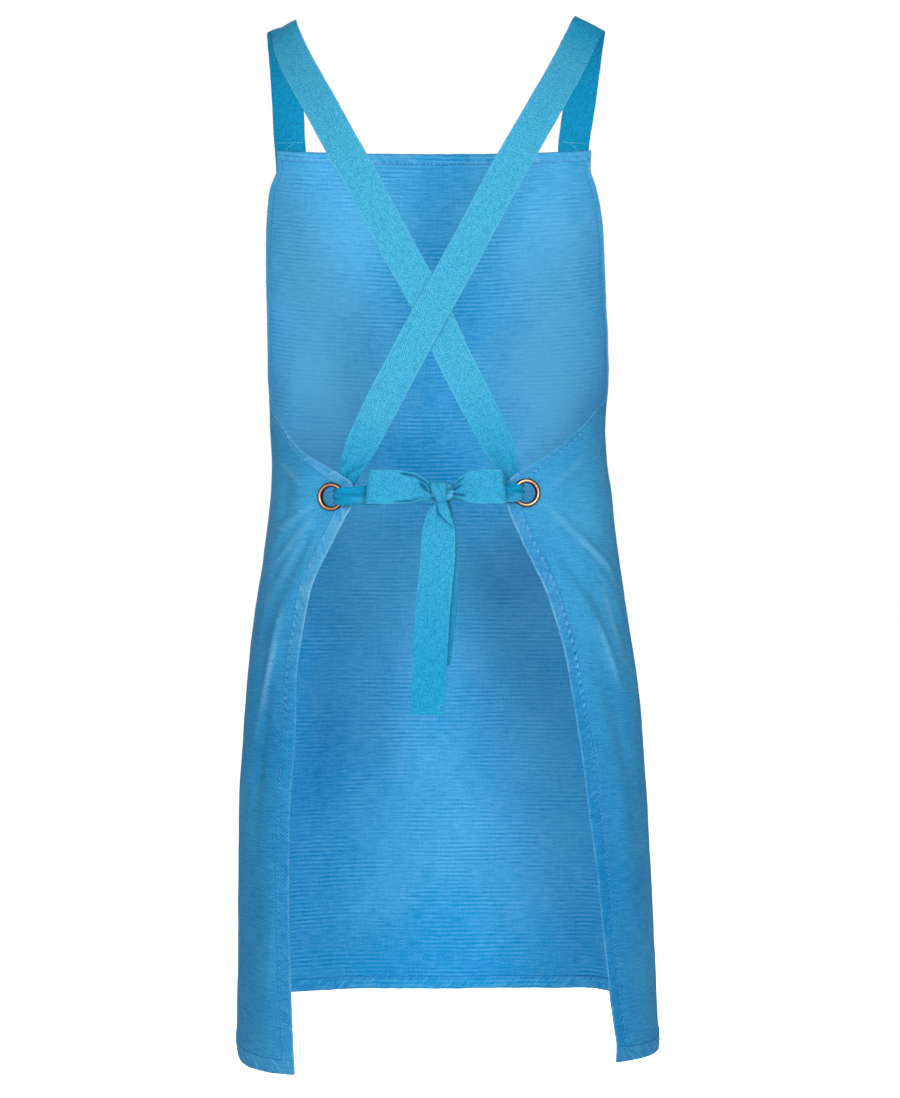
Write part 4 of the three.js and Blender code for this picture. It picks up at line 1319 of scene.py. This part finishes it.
def pleats(count, gain=1.0, phase=0.4, slope=0.0, seed=0):
    """Lengthwise pleats, uneven and wandering, where a 30 mm tape is drawn in to width w."""

    def profile(u, s, w):
        tight = np.clip(1 - w / TAPE_WIDTH, 0, 1)
        wander = 0.5 * noise(s / 11.0, 0.5 + 0 * u, 40 + seed)
        wave = np.cos(math.pi * count * (u + wander) + phase + slope * s)
        small = np.cos(math.pi * 2.3 * count * (u - 0.6 * wander) - phase - 1.7 * slope * s)
        wave = np.sign(wave) * np.abs(wave) ** 0.7
        return gain * 3.2 * tight * (0.5 * wave + 0.16 * small) * (1 - 0.3 * u * u)

    return profile


def make_strap(name, rows, x, sign):
    r = route(rows, 1.8)
    # the sewn end follows the bib's outer face
    z = np.arange(TOP_Z - SEWN, TOP_Z + 0.01, 1.75)
    centre = (abs(x) + 4) * (1 if x > 0 else -1)
    K = len(ACROSS)
    mids, acr, outs = [], [], []
    for zz in z:
        a = centre + np.array([-TAPE_WIDTH / 2, 0, TAPE_WIDTH / 2])
        p, n = with_normal(a, np.full(3, zz))
        n = outward(p, n)
        lift = 1.62
        q = p + n * lift
        mids.append(q[1])
        acr.append(unit(q[2] - q[0]))
        outs.append(n[1])
    mids, acr, outs = map(np.array, (mids, acr, outs))
    mid = np.vstack([mids, r["mid"]])
    across = np.vstack([acr * np.sign(np.sum(acr[-1] * r["across"][0])), r["across"]])
    out = np.vstack([outs, r["out"]])
    if np.sum(outs[-1] * r["out"][0]) < 0:
        out = np.vstack([outs, -r["out"]])
    w = np.concatenate([np.full(len(z), TAPE_WIDTH), r["w"]])
    # soften the join
    for arr in (mid, across, out):
        for i in range(len(z) - 3, len(z) + 6):
            arr[i] = (arr[i - 1] + 2 * arr[i] + arr[i + 1]) / 4
    across, out = unit(across), unit(out)
    s = np.concatenate([[0], np.cumsum(np.linalg.norm(np.diff(mid, axis=0), axis=1))])
    # curve of the bib across the tape
    bow = (1 - step(s, 26, 90))[:, None]
    pl = pleats(1.7, 1.0, 0.9 * sign, 0.02 * sign, 3 if x > 0 else 5)

    def profile(u, ss, ww):
        drape = 0.35 * noise(ss / 60.0 + 0 * u, u * 1.2, 80 + int(x > 0)) * step(ss, 60, 120)
        # over the shoulder the edges drop a little below the middle
        arch = (2.5 if x > 0 else 1.1) * np.exp(-(((ss - crest) / 15.0) ** 2))
        return pl(u, ss, ww) - 0.55 * bow * u * u + drape - arch * u * u

    # painted shade: darker where the tape turns over the shoulder and where it is drawn together low on the back
    crest = s[np.argmax(mid[:, 2])]
    over = np.abs(s - crest) / (36 if x > 0 else 56)
    top_shade = 0.95 * np.exp(-(over ** (2 if x > 0 else 3))) + (0.92 if x < 0 else 0.58) * step(s, s[-1] - 190, s[-1] - 90)
    top_shade = np.clip(np.where(s < crest, 0.95, top_shade), 0, 1)

    # past the eyelet the lower half catches the light
    low = -np.sign(across[:, 2])[:, None] * ACROSS[None, :]
    painted_shade = 1.0 - 0.55 * step(s, s[-1] - 75, s[-1] - 55)[:, None] * step(low, -0.15, 0.35)
    obj, centre_pts, n = ribbon(name, mid, across, out, w, s, profile, seed=1 if x > 0 else 2, painted_shade=painted_shade, top_shade=top_shade)
    return obj, dict(mid=mid, across=across, out=out, s=s)


def box_stitches(strap, turn):
    """The square with a cross that holds a sewn end, on the tape's face."""
    mid, across, out, s = strap["mid"], strap["across"], strap["out"], strap["s"]

    def place(u, t, face):
        i = np.interp(t, s, np.arange(len(s)))
        k = np.floor(i).astype(int)
        k2 = np.minimum(k + 1, len(s) - 1)
        f = (i - k)[:, None]
        m = mid[k] * (1 - f) + mid[k2] * f
        a = across[k] * (1 - f) + across[k2] * f
        o = out[k] * (1 - f) + out[k2] * f
        bend = -0.55 * (u / 15) ** 2
        return m + a * u[:, None] + o * (face * (TAPE_THICK / 2 + 0.05) + bend)[:, None], unit(o) * face

    def lay(lines, face):
        A, B, Nn = [], [], []
        for (u1, t1), (u2, t2) in lines:
            length = math.hypot(u2 - u1, t2 - t1)
            n = int(length / 2.9)
            f0 = (np.arange(n) + 0.1) / n
            f1 = (np.arange(n) + 0.85) / n
            p1, o = place(u1 + (u2 - u1) * f0, t1 + (t2 - t1) * f0, face)
            p2, _ = place(u1 + (u2 - u1) * f1, t1 + (t2 - t1) * f1, face)
            A.append(p1)
            B.append(p2)
            Nn.append(o)
        return np.concatenate(A), np.concatenate(B), np.concatenate(Nn)

    lo, hi, side = 3.0, 24.5, 11.8
    lines = [
        ((-side, lo), (side, lo)),
        ((side, lo), (side, hi)),
        ((side, hi), (-side, hi)),
        ((-side, hi), (-side, lo)),
        ((-side, lo), (side, hi)),
        ((side, lo), (-side, hi)),
    ]
    # above the bib's edge the stitching shows on the tape's inner face
    above = [((-12.5, SEWN + 8.6), (12.5, SEWN + 8.6)), ((-3.5 * turn, SEWN + 8.6), (4.5 * turn, SEWN + 1.0))]
    return lay(lines, 1), lay(above, -1)


def groove(u, x, crease, half):
    """How strongly a place at u across and x along lies on a crease's line."""
    u0, x0, u1, x1, width, height = crease
    du, dx = (u1 - u0) * half, x1 - x0
    c = np.clip(((u - u0) * half * du + (x - x0) * dx) / (du * du + dx * dx), 0, 1)
    d = np.hypot((u - u0) * half - du * c, (x - x0) - dx * c)
    return height * np.exp(-((d / width) ** 2)) * np.sin(np.pi * (0.1 + 0.8 * c)) ** 0.7


def make_loop(name, rows, creases, hollows, seed):
    r = route(rows, 0.62)
    total = r["s"][-1]
    pl = pleats(1.5, 0.5, 0.7, 0.0, seed)
    up = 1.0 if rows["az"][0] > 0 else -1.0
    at = lambda s: np.interp(s, r["s"], np.abs(r["mid"][:, 0] + 5))

    def profile(u, s, w):
        h = pl(u, s, w)
        frontness = step(s, total * 0.5, total * 0.62)
        for crease in creases:
            h = h + frontness * groove(up * u, at(s), crease, 14.0 * w / TAPE_WIDTH + 1.0)
        # the loop's face is a little hollow and its edges lift
        return h + frontness * 0.5 * u * u * (w / TAPE_WIDTH)

    def shade(u, s, w):
        # close to the knot the loop goes down into shadow
        dark = 0.55 * fade(at(s), 7.0, 12.5) + 0 * u
        front = step(s, total * 0.5, total * 0.62)
        # painted shade in the listed hollows of the loop's face
        for u0, x0, ru, rx, gain in hollows:
            dark = dark + front * gain * np.exp(-(((up * u - u0) / ru) ** 2) - ((at(s) - x0) / rx) ** 2)
        return dark

    # painted shade over the loop's top face
    top_shade = np.full(len(r["s"]), 0.55)
    obj, _, _ = ribbon(name, r["mid"], r["across"], r["out"], r["w"], r["s"], profile, seed=seed, fine=True, painted_shade=0.42, top_shade=top_shade, shade=shade)
    return obj


def make_tail(name, rows, seed, folded):
    r = route(rows, 0.8)
    pl = pleats(1.5, 0.7, 0.2, 0.0, seed)

    def edge_line(s):
        # where across the folded corner's edge runs: from the left of the knot's foot down to the right side
        return 0.62 - (s - 3.0) / 19.5 * 1.5

    def profile(u, s, w):
        h = pl(u, s, w) * (0.4 if folded else 1.0)
        if folded:
            # u is +1 at the picture's left: a corner of the tape folds over at the right
            over = step(edge_line(s) - u, -0.03, 0.05) * step(s, 1.0, 4.0)
            h = h + 1.5 * over * (1 - 0.35 * step(-u, 0.2, 1))
            h = h + 0.9 * np.exp(-(((u - 0.72 + 0.006 * s) / 0.14) ** 2)) * fade(s, 12, 30) * step(s, 0.5, 4)
            h = h - 0.7 * np.exp(-(((u - 0.30 + 0.010 * s) / 0.12) ** 2)) * fade(s, 8, 22) * step(s, 0.5, 3)
        h = h + 0.4 * noise(s / 34.0 + 0 * u, u * 0.9 + seed, 90 + seed) * step(s, 20, 60)
        h = h - 0.4 * u * u * step(s, 20, 50)
        return h

    def shade(u, s, w):
        # painted shade: over the whole tail behind, and on the front tail along the folded corner's edge and close to
        # the knot
        if not folded:
            return 0.45 + 0 * u * s
        d = (u - edge_line(s)) * w / 2
        return 0.75 * np.exp(-(((d - 0.9) / 0.9) ** 2)) * step(s, 2, 5) * fade(s, 20, 27) + 0.6 * fade(s, 1.0, 4.5)

    # painted shade on the top face, growing down the tail
    top_shade = 0.42 + 0.36 * step(r["s"], 40, 150)
    obj, _, _ = ribbon(name, r["mid"], r["across"], r["out"], r["w"], r["s"], profile, seed=seed, fine=True, top_shade=top_shade, shade=shade)
    return obj


def make_knot():
    r = route(KNOT_WRAP, 0.35)
    front = (r["mid"][:, 1] > 116.5).astype(float)

    def profile(u, s, w):
        dome = 1.0 * (1 - u * u)
        crease = -0.7 * np.exp(-(((u - 0.62 + 0.05 * s) / 0.14) ** 2)) * step(s, 6, 10)
        fold = 0.25 * np.exp(-(((u + 0.45 - 0.03 * s) / 0.2) ** 2)) * step(s, 3, 7)
        return dome + crease + fold

    def shade(u, s, w):
        # painted shade towards the edges of the turn
        return 0.55 * np.clip((np.abs(u) - 0.72) / 0.28, 0, 1) + 0 * s

    # painted shade on both faces of the turn
    wrap, _, _ = ribbon("knot_turn", r["mid"], r["across"], r["out"], r["w"], r["s"], profile, seed=7, fine=True, painted_shade=0.45, top_shade=0.45, shade=shade)
    # the tape packed inside the turn
    N = 64
    rings = 40
    x = np.linspace(KNOT["x"][0], KNOT["x"][-1], rings)
    hh, hd, zz = (Smooth(KNOT, "x", c)(x) for c in ("half_height", "half_depth", "z"))
    a = np.linspace(0, 2 * math.pi, N, endpoint=False)[None, :]
    c, s_ = np.cos(a), np.sin(a)
    ridge = np.sin(4 * a + 0.35 * x[:, None] + 0.6)
    rr = 1 + 0.07 * np.sign(ridge) * np.abs(ridge) ** 0.7 + 0.04 * noise(x[:, None] / 2.5, a * 2, 12)
    y = KNOT_Y + hd[:, None] * np.sign(c) * np.abs(c) ** 0.8 * rr
    z = zz[:, None] + hh[:, None] * np.sign(s_) * np.abs(s_) ** 0.8 * rr
    V = np.stack([x[:, None] + 0 * y, y, z], -1)
    uv = np.stack([(a / (2 * math.pi) - 0.5) * 0.03 + 0 * y, x[:, None] * 0.001 + 0 * y], -1)
    faces = grid_faces(rings, N, wrap=True).tolist()
    faces += [list(range(N)), [(rings - 1) * N + k for k in range(N)][::-1]]
    # painted shade between the ridges of the packed tape
    deep = np.clip(0.35 - 0.5 * ridge, 0, 1) + 0 * y
    attrs = {"deep": deep.ravel(), "painted_shade": np.zeros(deep.size)}
    core = orient(make_object("knot_core", V.reshape(-1, 3), faces, uv.reshape(-1, 2), attrs, [TAPE]))
    return wrap, core


def make_eyelet(side):
    e = EYELETS[side]
    n = e["normal"]
    b = np.array([0, 0, 1.0])
    a = np.cross(b, n)
    N = 96
    r, h = EYELET_PROFILE["r"], EYELET_PROFILE["h"]
    # finer profile
    rs, hs = [], []
    for i in range(len(r)):
        j = (i + 1) % len(r)
        for t in (0.0, 0.34, 0.67):
            rs.append(r[i] + (r[j] - r[i]) * t)
            hs.append(h[i] + (h[j] - h[i]) * t)
    rs, hs = np.array(rs), np.array(hs)
    for _ in range(2):
        rs = (np.roll(rs, 1) + 2 * rs + np.roll(rs, -1)) / 4
        hs = (np.roll(hs, 1) + 2 * hs + np.roll(hs, -1)) / 4
    ang = np.linspace(0, 2 * math.pi, N, endpoint=False)
    P = (
        e["at"]
        + (np.cos(ang)[:, None, None] * a + np.sin(ang)[:, None, None] * b) * rs[None, :, None]
        + n * hs[None, :, None]
    )
    K = len(rs)
    i = np.arange(N)[:, None]
    j = np.arange(K)[None, :]
    i2, j2 = (i + 1) % N, (j + 1) % K
    faces = np.stack([i * K + j, i2 * K + j, i2 * K + j2, i * K + j2], -1).reshape(-1, 4)
    crest = np.exp(-(((rs - 10.5) / 1.25) ** 2)) * np.clip((hs - 1.2) / 1.4, 0, 1)
    crest = np.broadcast_to(crest[None], (N, K))
    obj = make_object("eyelet_ring_" + side, P.reshape(-1, 3), faces, None, {"crest": crest.ravel()}, [COPPER])
    return orient(obj)


# ---------------------------------------------------------------- build
body = make_body()
hems = {w: make_hem(w, 0.0 if w in ("left", "right") else 0.35) for w in ("left", "right", "top", "bottom")}
stitches = make_stitches(
    "hem_stitches",
    [hem_stitches("left"), hem_stitches("right"), hem_stitches("bottom", 0.35)],
)
top_stitches = make_stitches("top_hem_stitches", [hem_stitches("top", 0.35)], 0.3, TOP_THREAD)
strap_left, sl = make_strap("tape_left", STRAP_LEFT, 137, 1)
strap_right, sr = make_strap("tape_right", STRAP_RIGHT, -127, -1)
tacks = {
    "left": make_stitches("tape_left_stitches", box_stitches(sl, 1), 0.32, TACK),
    "right": make_stitches("tape_right_stitches", box_stitches(sr, -1), 0.32, TACK),
}
# creases: across (-1 foot to 1 top), mm from the knot's middle, to the same, width, height
loop_left = make_loop(
    "loop_left",
    LOOP_LEFT,
    [
        (0.84, 36, 0.70, 15, 0.65, -1.5),
        (0.98, 34, 0.90, 16, 0.8, 0.7),
        (0.48, 21, -0.2, 9.5, 1.0, -1.6),
        (0.10, 25, -0.05, 12, 1.8, 0.9),
        (-0.88, 42, -0.84, 20, 0.55, -1.1),
        (-0.45, 30, -0.5, 13, 1.6, 0.5),
    ],
    [(0.40, 16, 0.30, 5.5, 0.42), (-0.7, 16, 0.25, 7, 0.25)],
    3,
)
loop_right = make_loop(
    "loop_right",
    LOOP_RIGHT,
    [
        (0.10, 5, 0.34, 16, 0.7, -1.8),
        (-0.42, 7, -0.50, 18, 0.65, -1.7),
        (-0.12, 10, 0.0, 27, 1.8, 1.2),
        (0.66, 9, 0.80, 20, 0.9, -0.7),
        (0.48, 12, 0.60, 22, 1.2, 0.7),
        (-0.75, 16, -0.85, 34, 1.6, 0.4),
    ],
    [(0.30, 11, 0.25, 4.5, 0.35), (-0.75, 12, 0.2, 6, 0.3)],
    4,
)
tail_front = make_tail("tail_front", TAIL_FRONT, 5, True)
tail_back = make_tail("tail_back", TAIL_BACK, 6, False)
knot_turn, knot_core = make_knot()
ring = {s: make_eyelet(s) for s in ("left", "right")}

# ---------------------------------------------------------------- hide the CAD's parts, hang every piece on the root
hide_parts("apron_body")
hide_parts("strap_left")
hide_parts("strap_right")
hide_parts("bow_loop_left")
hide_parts("bow_loop_right")
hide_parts("bow_knot")
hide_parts("tie_tail_front")
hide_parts("tie_tail_back")
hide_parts("eyelet_left")
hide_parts("eyelet_right")
cloth_parts = [body, *hems.values(), stitches, top_stitches]
tape_parts = [strap_left, strap_right, loop_left, loop_right, knot_turn, knot_core, tail_front, tail_back, *tacks.values()]
for o in cloth_parts:
    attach(o, "root")
for o in tape_parts:
    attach(o, "root")
for o in ring.values():
    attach(o, "root")


def flat_area():
    z = np.linspace(TOP_Z, NOMINAL_HEM_Z, 400)
    w = cut["left"](z) + cut["right"](z)
    return float(np.trapezoid(w, -z)) * 1e-6 if hasattr(np, "trapezoid") else float(np.trapz(w, -z)) * 1e-6


flat_area()

# ---------------------------------------------------------------- stage, lights, camera
def stage_material(name, colour, glow=0.0):
    mat = bpy.data.materials.new(name)
    N = Nodes(mat)
    N.bsdf.inputs["Base Color"].default_value = colour
    N.bsdf.inputs["Roughness"].default_value = 0.9
    N.bsdf.inputs["Specular IOR Level"].default_value = 0.1
    N.bsdf.inputs["Emission Color"].default_value = colour
    N.bsdf.inputs["Emission Strength"].default_value = glow
    return mat


def make_floor():
    size, z = 20.0, -1.30
    v = [(-size, -size, z), (size, -size, z), (size, size, z), (-size, size, z)]
    mat = stage_material("pale_floor", (0.8, 0.8, 0.8, 1), 1.0)
    tree = mat.node_tree
    seen = tree.nodes.new("ShaderNodeLightPath")
    level = tree.nodes.new("ShaderNodeMapRange")
    level.inputs["To Min"].default_value = 0.1
    level.inputs["To Max"].default_value = 1.25
    tree.links.new(seen.outputs["Is Camera Ray"], level.inputs["Value"])
    bsdf = [n for n in tree.nodes if n.type == "BSDF_PRINCIPLED"][0]
    tree.links.new(level.outputs[0], bsdf.inputs["Emission Strength"])
    return make_object("floor", np.array(v) * 1000, [[0, 1, 2, 3]], smooth=False, materials=[mat])


floor = make_floor()


def area_light(name, at, look, size, power, size_y=None):
    data = bpy.data.lights.new(name, "AREA")
    data.energy = power
    data.shape = "RECTANGLE"
    data.size = size
    data.size_y = size_y or size
    obj = bpy.data.objects.new(name, data)
    obj.location = at
    obj.rotation_euler = (Vector(look) - Vector(at)).to_track_quat("-Z", "Y").to_euler()
    scene.collection.objects.link(obj)
    return obj


area_light("key", (-0.75, 2.5, 0.35), (0, 0, -0.5), 1.0, 44, 1.2)
area_light("fill", (0.95, 2.5, -0.1), (0, 0, -0.5), 1.2, 26, 1.4)
area_light("front", (0.6, -2.4, 0.9), (0, 0, -0.5), 1.4, 60, 1.6)

# a white studio: bright behind the object, a softer light on it
world = bpy.data.worlds.new("studio")
scene.world = world
world.use_nodes = True
wt = world.node_tree
bg = wt.nodes["Background"]
bg.inputs["Color"].default_value = (1, 1, 1, 1)
seen = wt.nodes.new("ShaderNodeLightPath")
level = wt.nodes.new("ShaderNodeMapRange")
level.inputs["To Min"].default_value = 0.2
level.inputs["To Max"].default_value = 1.0
wt.links.new(seen.outputs["Is Camera Ray"], level.inputs["Value"])
wt.links.new(level.outputs[0], bg.inputs["Strength"])

scene.view_settings.view_transform = "Standard"
scene.view_settings.look = "None"
scene.view_settings.exposure = 0.0

cam_data = bpy.data.cameras.new("camera")
cam_data.lens = 2140 / 1098 * 36
cam_data.sensor_width = 36
cam_data.sensor_fit = "AUTO"
cam_data.shift_x = 13 / 1098
cam_data.clip_end = 60
camera = bpy.data.objects.new("camera", cam_data)
camera.location = (0, 1.950, -0.476)
camera.rotation_euler = (math.radians(90), 0, math.radians(180))
scene.collection.objects.link(camera)
scene.camera = camera
